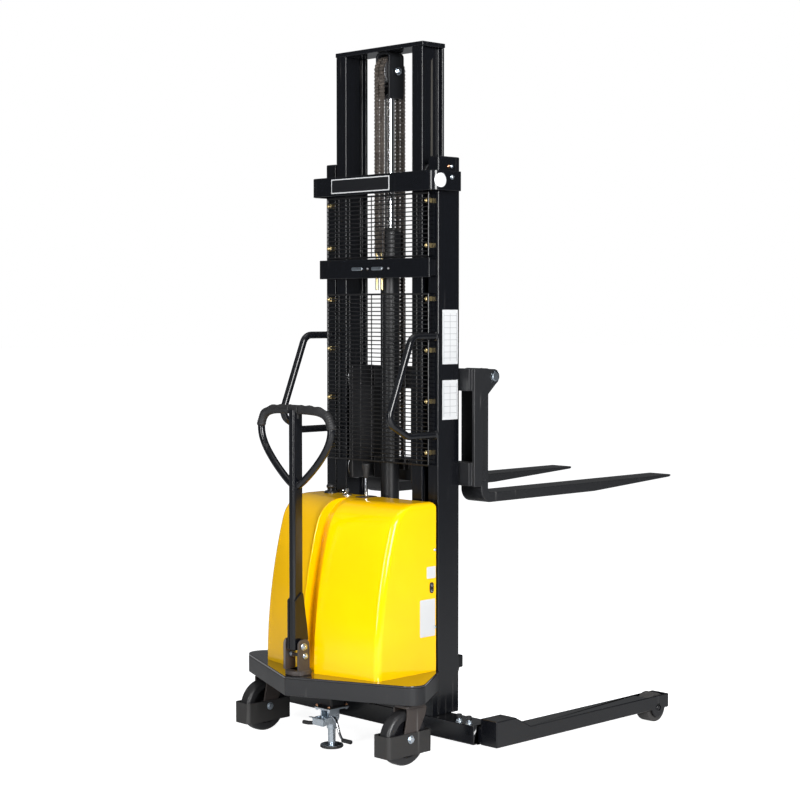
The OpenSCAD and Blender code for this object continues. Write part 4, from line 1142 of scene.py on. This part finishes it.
sweep(bm, loop + loop[:2], ring["wire"], 8, False, (0, 0, 1))
bmesh.ops.remove_doubles(bm, verts=bm.verts, dist=1e-6)
putDown("keyLoop", bm, "chrome", "switch_key", "chrome_steel")
knob = [(0, -0.020), (plug, -0.020), (plug, 0.016), (0.0118, 0.0162), (0.0150, 0.0185), (0.0163, 0.0225),
        (0.0160, 0.0265), (0.0140, 0.0300), (0.0100, 0.0322), (0.0050, 0.0330), (0, 0.0332)]
turned("stopKnob", "plasticBlack", "stop_button", knob, stopFoot, steps=44, replaces=("stop_button",),
       angle=40)
lever = {"rod": 0.005, "pin": 0.004, "pinHalf": 0.016, "pivot": 0.044, "boot": 0.066, "ribs": 6}
bootFoot = coverTop + lever["boot"]
rodEnd = bootFoot + 0.004
bm = bmesh.new()
lathe(bm, [(0, leverLow.z), (lever["rod"], leverLow.z), (lever["rod"], rodEnd), (0, rodEnd)],
      (leverMid.x, leverMid.y, 0), (0, 0, 1), 24)
half = [(0, -lever["pinHalf"]), (lever["pin"], -lever["pinHalf"])]
lathe(bm, half + flipped(half), (leverMid.x, leverMid.y, coverTop - lever["pivot"]), (1, 0, 0), 18)
putDown("leverRod", bm, "chrome", "valve_lever", None, ("valve_lever",), angle=40)
tall = leverHigh.z - bootFoot
grip = [(0, 0), (0.0070, 0), (0.0080, 0.002)]
for k in range(1, lever["ribs"]):
    base = 0.008 + 0.0062 * k / lever["ribs"]
    grip += [(base, tall * (k - 0.35) / lever["ribs"]), (base + 0.0007, tall * k / lever["ribs"])]
grip += [(0.0150, tall * 0.93), (0.0138, tall * 0.985), (0.0105, tall), (0, tall)]
turned("leverGrip", "gripRubber", "valve_lever", grip, (leverMid.x, leverMid.y, bootFoot), steps=28,
       slot="black_rubber", angle=60)
plate = roundRect(leverMid.x, leverMid.y, 0.022, 0.036, 0.010, 6)
slotHole = roundRect(leverMid.x, leverMid.y, 0.0088, 0.0228, 0.0087, 6)
bm = bmesh.new()
sleeve(bm, plate, slotHole, coverTop, coverTop + 0.002)
putDown("leverPlate", bm, "gripRubber", "chassis", "black_rubber", (), 0.0005, 2, 50)
print("panel ready")


# handle: yoke, post, loop and grips
handle = {"loop": 0.0125, "grip": 0.0150, "postRound": 0.009, "fingers": 4}
restyle("tiller_yoke", "yokeBrown", 0.002)
tillerLow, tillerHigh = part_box("tiller")
postY = (tillerLow.y + tillerHigh.y) / 2
pivotZ = tillerLow.z + 0.012
barZ = tillerHigh.z - handle["loop"]
bm = bmesh.new()
post = roundRect(0, postY, 0.014, 0.022, handle["postRound"], 6)
loft(bm, [[Vector((x, y, z)) for x, y in post] for z in (tillerLow.z, barZ)], True)
bm.faces.new(list(bm.verts)[:len(post)])
bm.faces.new(list(bm.verts)[len(post):2 * len(post)])
gusset = [(postY - 0.022, tillerLow.z), (postY + 0.020, tillerLow.z), (postY + 0.037, pivotZ + 0.020),
          (postY + 0.036, pivotZ + 0.040), (postY + 0.016, pivotZ + 0.176), (postY + 0.010, pivotZ + 0.180),
          (postY - 0.022, pivotZ + 0.154)]
twin(bm, gusset, 0.0, 0.0135, 0.020)
putDown("handlePost", bm, "mastBlack", "tiller", None, ("tiller",), 0.0012, 2, 40)
halfLoop = 0.1760
rightSide = [(0.0, barZ), (0.060, barZ - 0.0005), (0.115, barZ - 0.004), (0.152, barZ - 0.016),
             (0.172, barZ - 0.040), (halfLoop, barZ - 0.070), (0.168, barZ - 0.102), (0.146, barZ - 0.138),
             (0.110, barZ - 0.178), (0.070, barZ - 0.214), (0.036, barZ - 0.240), (0.010, barZ - 0.256)]
bm = bmesh.new()
for s in (-1, 1):
    sweep(bm, smoothPath([(s * x, postY, z) for x, z in rightSide], 6), handle["loop"], 20)
putDown("handleLoop", bm, "mastBlack", "tiller", slotOf["tiller"], (), 0, 2, 60)
boss = bmesh.new()
sweep(boss, [Vector((-0.021, postY, barZ)), Vector((0.021, postY, barZ))], handle["loop"] + 0.0028, 24)
lathe(boss, [(0.0150, -0.030), (0.0150, -0.006), (0, -0.006)], (0, postY, barZ), (0, 0, 1), 24)
putDown("handleBoss", boss, "gripRubber", "tiller", "black_rubber", (), 0.002, 2, 40)


def fingers(way, angle):
    # the under side of the grip swells between the fingers
    r = handle["grip"] + 0.0006 * math.sin(way * 900)
    under = max(0.0, math.cos(angle - math.pi * 0.5))
    wave = math.cos(way * 2 * math.pi * handle["fingers"] / gripLength)
    r += under * 0.0016 * wave
    endings = min(1.0, way / 0.004, (gripLength - way) / 0.004)
    return r - 0.003 * (1 - max(0.0, endings)) ** 2


bm = bmesh.new()
for s in (-1, 1):
    line = [p for p in smoothPath([(s * x, postY, z) for x, z in rightSide], 10)
            if abs(p.x) > 0.022 and p.z > barZ - 0.062]
    fine = []
    for a, b in zip(line, line[1:]):
        fine += [a.lerp(b, k / 3) for k in range(3)]
    fine.append(line[-1])
    gripLength = sum((b - a).length for a, b in zip(fine, fine[1:]))
    sweep(bm, fine, (lambda way, angle, s=s: fingers(way, angle if s > 0 else -angle)), 28)
putDown("handleGrips", bm, "gripRubber", "tiller", None, ("tiller_grips",), 0, 2, 60)

# bolts, spring and bearing ring of the yoke
pinZ = [pivotZ, pivotZ - 0.032]
bolts = []
for s in (-1, 1):
    bolts.append(((s * 0.0392, postY, pinZ[0]), (s, 0, 0), 1.15))
    bolts.append(((s * 0.0392, postY + 0.006, pinZ[1]), (s, 0, 0), 0.95))
setParts("yokeBolts", bolt, bolts, "zinc", "tiller_yoke")
coil = {"radius": 0.0085, "wire": 0.0016, "turns": 5.5}
bm = bmesh.new()
turnSteps = int(coil["turns"] * 14)
path = [Vector((0.0215 + 0.0085 * i / turnSteps,
                postY + 0.006 + coil["radius"] * math.cos(2 * math.pi * i / 14),
                pinZ[1] + coil["radius"] * math.sin(2 * math.pi * i / 14))) for i in range(turnSteps + 1)]
sweep(bm, path, coil["wire"], 8, normal=(1, 0, 0))
sweep(bm, [Vector((-p.x, p.y, p.z)) for p in path], coil["wire"], 8, normal=(1, 0, 0))
putDown("yokeSprings", bm, "zinc", "tiller_yoke", "zinc_plate")
turned("yokeBearing", "rollerSteel", "chassis",
       [(0.026, 0.0004), (0.036, 0.0004), (0.0375, 0.002), (0.0375, 0.0035), (0.026, 0.0035)],
       (0, postY + 0.010, deckTop), steps=44, closed=True, slot="machined_steel")
print("handle ready")


# grab rails
for side in ("left", "right"):
    restyle("grab_rail_" + side, "mastBlack", 0.0, 2, 40)
    low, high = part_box("grab_rail_" + side)
    x = (low.x + high.x) / 2
    bm = bmesh.new()
    for z in (high.z - 0.0125, low.z + 0.0125):
        lathe(bm, [(0.0165, 0), (0.0160, 0.0030), (0.0130, 0.0060), (0.0124, 0.0068)], (x, mastFace, z),
              (0, -1, 0), 24)
    putDown("grabWelds_" + side, bm, "mastBlack", "chassis", "black_gloss_paint")


# floor lock
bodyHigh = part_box("lock_body")[1]
footLow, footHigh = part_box("lock_foot")
pedalLow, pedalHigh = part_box("lock_pedal")
lockX, lockY = (footLow.x + footHigh.x) / 2, (footLow.y + footHigh.y) / 2
lock = {"plateTop": 0.150, "plate": 0.006, "boltX": 0.030, "boltY": 0.040, "boltScale": 0.62,
        "pinBack": 0.024, "pinZ": 0.112, "pin": 0.0034, "pinHalf": 0.026}
plateHigh = lock["plateTop"]
plateUnder = plateHigh - lock["plate"]
bm = bmesh.new()
extrude(bm, roundRect(lockX, lockY, 0.038, 0.048, 0.006, 4), plateUnder, plateHigh)
cheek = [(lockY - 0.031, plateUnder), (lockY + 0.016, plateUnder), (lockY + 0.016, 0.112),
         (lockY + 0.006, 0.096), (lockY - 0.020, 0.092), (lockY - 0.031, 0.100)]
twin(bm, cheek, lockX, 0.018, 0.022)
tube = [(0.0132, 0.074), (0.0165, 0.074), (0.0172, 0.078), (0.0172, plateUnder), (0.0132, plateUnder)]
closedLathe(bm, tube, (lockX, lockY, 0), (0, 0, 1), 32)
putDown("lockFrame", bm, "zinc", "chassis", None, ("lock_body",), 0.0008)
bm = bmesh.new()
extrude(bm, roundRect(lockX, lockY, 0.030, 0.030, 0.004, 4), plateHigh, bodyHigh.z)
extrude(bm, roundRect(lockX, lockY, 0.041, 0.051, 0.006, 4), plateHigh, plateHigh + 0.003)
putDown("lockRiser", bm, "satinBlack", "chassis", "black_satin_paint", (), 0.001)
for name, mat, slot, z, facing in (("lockBolts", "copperBolt", "yellow_zinc", plateHigh + 0.003, 1),
                                   ("lockNuts", "zinc", "zinc_plate", plateUnder, -1)):
    corners = [((lockX + sx * lock["boltX"], lockY + sy * lock["boltY"], z), (0, 0, facing),
                lock["boltScale"])
               for sx in (-1, 1) for sy in (-1, 1)]
    setParts(name, bolt, corners, mat, "chassis")
lockFoot = (lockX, lockY, footLow.z)
stroke = footHigh.z - footLow.z
plunger = [(0, 0.009), (0.0375, 0.009), (0.0375, 0.0105), (0.034, 0.012), (0.013, 0.0125), (0.013, stroke),
           (0, stroke)]
turned("lockPlunger", "zinc", "lock_foot", plunger, lockFoot, replaces=("lock_foot",), angle=40)
pad = [(0, 0), (0.0365, 0), (0.0395, 0.002), (0.0400, 0.0045), (0.0392, 0.0085), (0.0375, 0.0100),
       (0.0365, 0.0092), (0, 0.0092)]
turned("lockPad", "gripRubber", "lock_foot", pad, lockFoot, steps=44, slot="black_rubber", angle=60)
bm = bmesh.new()
pinY, pinHeight = lockY - lock["pinBack"], lock["pinZ"]
half = [(0, -lock["pinHalf"]), (lock["pin"], -lock["pinHalf"])]
lathe(bm, half + flipped(half), (lockX, pinY, pinHeight), (1, 0, 0), 18)
arm = [(pinY + 0.008, pinHeight + 0.006), (pinY + 0.008, pinHeight - 0.008),
       (pinY - 0.004, pinHeight - 0.014),
       (pedalLow.y + 0.004, pedalLow.z + 0.002), (pedalLow.y, pedalLow.z + 0.006),
       (pedalLow.y, pedalHigh.z - 0.005),
       (pedalLow.y + 0.012, pedalHigh.z)]
twin(bm, arm, lockX, 0.0235, 0.0265)
tongue = [(pedalLow.y + 0.004, pedalLow.z + 0.001), (pedalLow.y + 0.001, pedalLow.z + 0.006),
          (pedalLow.y, pedalHigh.z - 0.006),
          (pedalLow.y - 0.004, pedalHigh.z - 0.001), (pedalLow.y - 0.016, pedalHigh.z + 0.002),
          (pedalLow.y - 0.016, pedalHigh.z + 0.0045), (pedalLow.y - 0.003, pedalHigh.z + 0.0025),
          (pedalLow.y + 0.0035, pedalHigh.z - 0.004), (pedalLow.y + 0.0045, pedalLow.z + 0.008)]
extrude(bm, tongue, lockX - 0.027, lockX + 0.027, "x")
putDown("lockPedal", bm, "zinc", "lock_pedal", None, ("lock_pedal",), 0.0007)
bm = bmesh.new()
release = [Vector((lockX + x, pinY + y, pinHeight + z)) for x, y, z in
           ((0.024, -0.002, 0.006), (0.040, -0.004, 0.010), (0.056, -0.007, 0.000), (0.068, -0.010, -0.018),
            (0.080, -0.013, -0.038), (0.094, -0.016, -0.052), (0.106, -0.018, -0.056))]
sweep(bm, smoothPath(release, 6), 0.0046, 14, normal=(0, 1, 0))
putDown("lockRelease", bm, "chrome", "lock_pedal", "chrome_steel", (), 0, 2, 50)
bm = bmesh.new()
tip = release[-1]
sweep(bm, [tip + Vector((reachOut, 0, 0)) for reachOut in (-0.006, 0.006, 0.018, 0.036)], 0.0072, 16,
      normal=(0, 1, 0))
leftArm = [Vector((lockX + x, pinY + y, pinHeight + z)) for x, y, z in
           ((-0.0265, -0.018, -0.012), (-0.040, -0.024, -0.018), (-0.056, -0.030, -0.020),
            (-0.080, -0.034, -0.020))]
sweep(bm, smoothPath(leftArm, 6), 0.0068, 14, normal=(0, 1, 0))
putDown("lockTips", bm, "gripRubber", "lock_pedal", "black_rubber", (), 0.0008, 2, 50)
print("floor lock ready")


# fasteners, plates and small trim
strapLow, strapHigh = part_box("top_strap")
barNodeLow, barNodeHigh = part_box("mid_bar")
strapMidZ = (strapLow.z + strapHigh.z) / 2
barMidZ = (barNodeLow.z + barNodeHigh.z) / 2
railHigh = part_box("outer_mast_right")[1]
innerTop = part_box("inner_top_plate")[1]
bracketLow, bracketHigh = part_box("sheave_bracket")
chassisBolts = []
for s in (-1, 1):
    chassisBolts.append(((s * railHigh.x, mastFace + 0.064, strapHigh.z + 0.018), (s, 0, 0), 0.62))
    chassisBolts.append(((s * (strapHigh.x + 0.0001), mastFace + 0.033, strapMidZ + 0.012), (s, 0, 0), 0.75))
    for z in (0.060, 0.100):
        chassisBolts.append(((s * 0.20, crossLow.y, z), (0, -1, 0), 1.0))
setParts("frameBolts", bolt, chassisBolts, "zinc", "chassis")
brassBolts = [((s * (railHigh.x + 0.0001), mastFace + 0.050, strapHigh.z + 0.018), (s, 0, 0), 0.62)
              for s in (-1, 1)]
setParts("mastTopBolts", bolt, brassBolts, "copperBolt", "chassis")
bm = bmesh.new()
for x in (-0.078, 0.023):
    extrude(bm, roundRect(x, barMidZ, 0.0275, 0.0058, 0.0057, 6), barNodeLow.y - 0.004,
            barNodeLow.y + 0.0005, "y")
putDown("barSlotHeads", bm, "zinc", "chassis", "zinc_plate", (), 0.0022, 3)
barScrews = [((x, barNodeLow.y, barMidZ), (0, -1, 0), 1.0) for x in (-0.026, 0.078)]
setParts("barScrews", screw, barScrews, "rollerSteel", "chassis")
sheaveBolts = [((s * (bracketHigh.x - 0.0002), sheaveMid.y, sheaveMid.z), (s, 0, 0), 1.3) for s in (-1, 1)]
sheaveBolts += [((s * 0.012, bracketLow.y + y, bracketLow.z + 0.008), (0, 0, 1), 0.7) for s in (-1, 1)
                for y in (0.014, 0.056)]
setParts("sheaveBolts", bolt, sheaveBolts, "zinc", "inner_mast")
clipScrews = []
clipLow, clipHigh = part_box("guard_clips")
clipHeights = sorted({round(v.co.z, 4) for v in nodes["guard_clips"].data.vertices})
for z in clipHeights[::2]:
    for s in (-1, 1):
        clipScrews.append(((s * (clipHigh.x - 0.008), clipLow.y - 0.0040, z + 0.008), (0, -1, 0), 1.4))
setParts("clipScrews", screw, clipScrews, "yellowZinc", "chassis")
label = {"line": 0.0011, "proud": 0.00025, "capacityEnd": 0.098, "border": 0.0035}
restyle("name_plates", "plateWhite", 0.0)
plateLow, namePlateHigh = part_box("name_plates")
bm = bmesh.new()
outX = namePlateHigh.x
for low, high, rows in ((1.307, 1.491, 9), (1.119, 1.253, 6)):
    for k in range(1, rows):
        z = low + (high - low) * k / rows
        extrude(bm, [(mastFace + 0.026, z), (mastFace + 0.088, z), (mastFace + 0.088, z + label["line"]),
                     (mastFace + 0.026, z + label["line"])], outX, outX + label["proud"], "x")
    for y in (0.026, 0.056, 0.087):
        extrude(bm, [(mastFace + y, low + 0.010), (mastFace + y + label["line"], low + 0.010),
                     (mastFace + y + label["line"], high - 0.012), (mastFace + y, high - 0.012)],
                outX, outX + label["proud"], "x")
putDown("plateLines", bm, "plateGrey", "chassis", "white_plate")
bm = bmesh.new()
faceY = strapLow.y - 0.001
end, border = label["capacityEnd"], label["border"]
panel = roundRect((plateLow.x + end) / 2, strapMidZ, (end - plateLow.x) / 2 - border,
                  (strapHigh.z - strapLow.z) / 2 - 0.008 - border, 0.005, 4)
extrude(bm, panel, faceY - 0.0006, faceY - 0.00005, "y")
putDown("capacityPlate", bm, "satinBlack", "chassis", "black_satin_paint", (), 0.0002)
sticker = {"radius": 0.024, "corner": 0.036, "thick": 0.0006, "start": 0.004}
bm = bmesh.new()
lathe(bm, [(0, 0)] + [(sticker["radius"] * k / 6, 0) for k in range(1, 7)]
      + [(sticker["radius"] * k / 6, sticker["thick"]) for k in range(6, 0, -1)] + [(0, sticker["thick"])],
      (0, 0, 0), (0, 0, 1), 36)
for v in bm.verts:
    along = v.co.x - sticker["start"]
    x, y = polar(sticker["corner"] + 0.0003 + v.co.z, min(0.0, along) / sticker["corner"])
    y += max(0.0, along)
    v.co = (strapHigh.x - sticker["corner"] + x, strapLow.y + sticker["corner"] + y, strapMidZ + v.co.y)
putDown("roundSticker", bm, "plateWhite", "chassis", "white_plate")
bm = bmesh.new()
smear = [(mastFace + 0.046, innerTop.z - 0.9), (mastFace + 0.060, innerTop.z - 0.9),
         (mastFace + 0.058, innerTop.z - 0.05), (mastFace + 0.050, innerTop.z - 0.06)]
twin(bm, smear, 0.0, 0.19605, 0.19625)
putDown("railGrease", bm, "grease", "inner_mast", "black_satin_paint")
glandLow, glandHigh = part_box("cylinder_gland")
glandTop = ((glandLow.x + glandHigh.x) / 2, (glandLow.y + glandHigh.y) / 2, glandHigh.z)
seal = [(0.019, 0), (0.0265, 0), (0.0285, 0.004), (0.0250, 0.010), (0.0185, 0.012)]
turned("glandSeal", "gripRubber", "chassis", seal, glandTop, steps=36, slot="black_rubber")
print("trim ready")


# floor
floorData = bpy.data.meshes.new("floor")
reach = 60.0
floorData.from_pydata([(-reach, -reach, 0), (reach, -reach, 0), (reach, reach, 0), (-reach, reach, 0)], [],
                      [(0, 1, 2, 3)])
floorData.materials.append(mats["floorPale"])
floor = bpy.data.objects.new("floor", floorData)
bpy.context.scene.collection.objects.link(floor)

for part in (bolt, screw, outerLink, innerLink):
    bpy.data.objects.remove(part)
left = [n for n, o in nodes.items() if not o.hide_render]
print("CAD nodes still shown:", left)
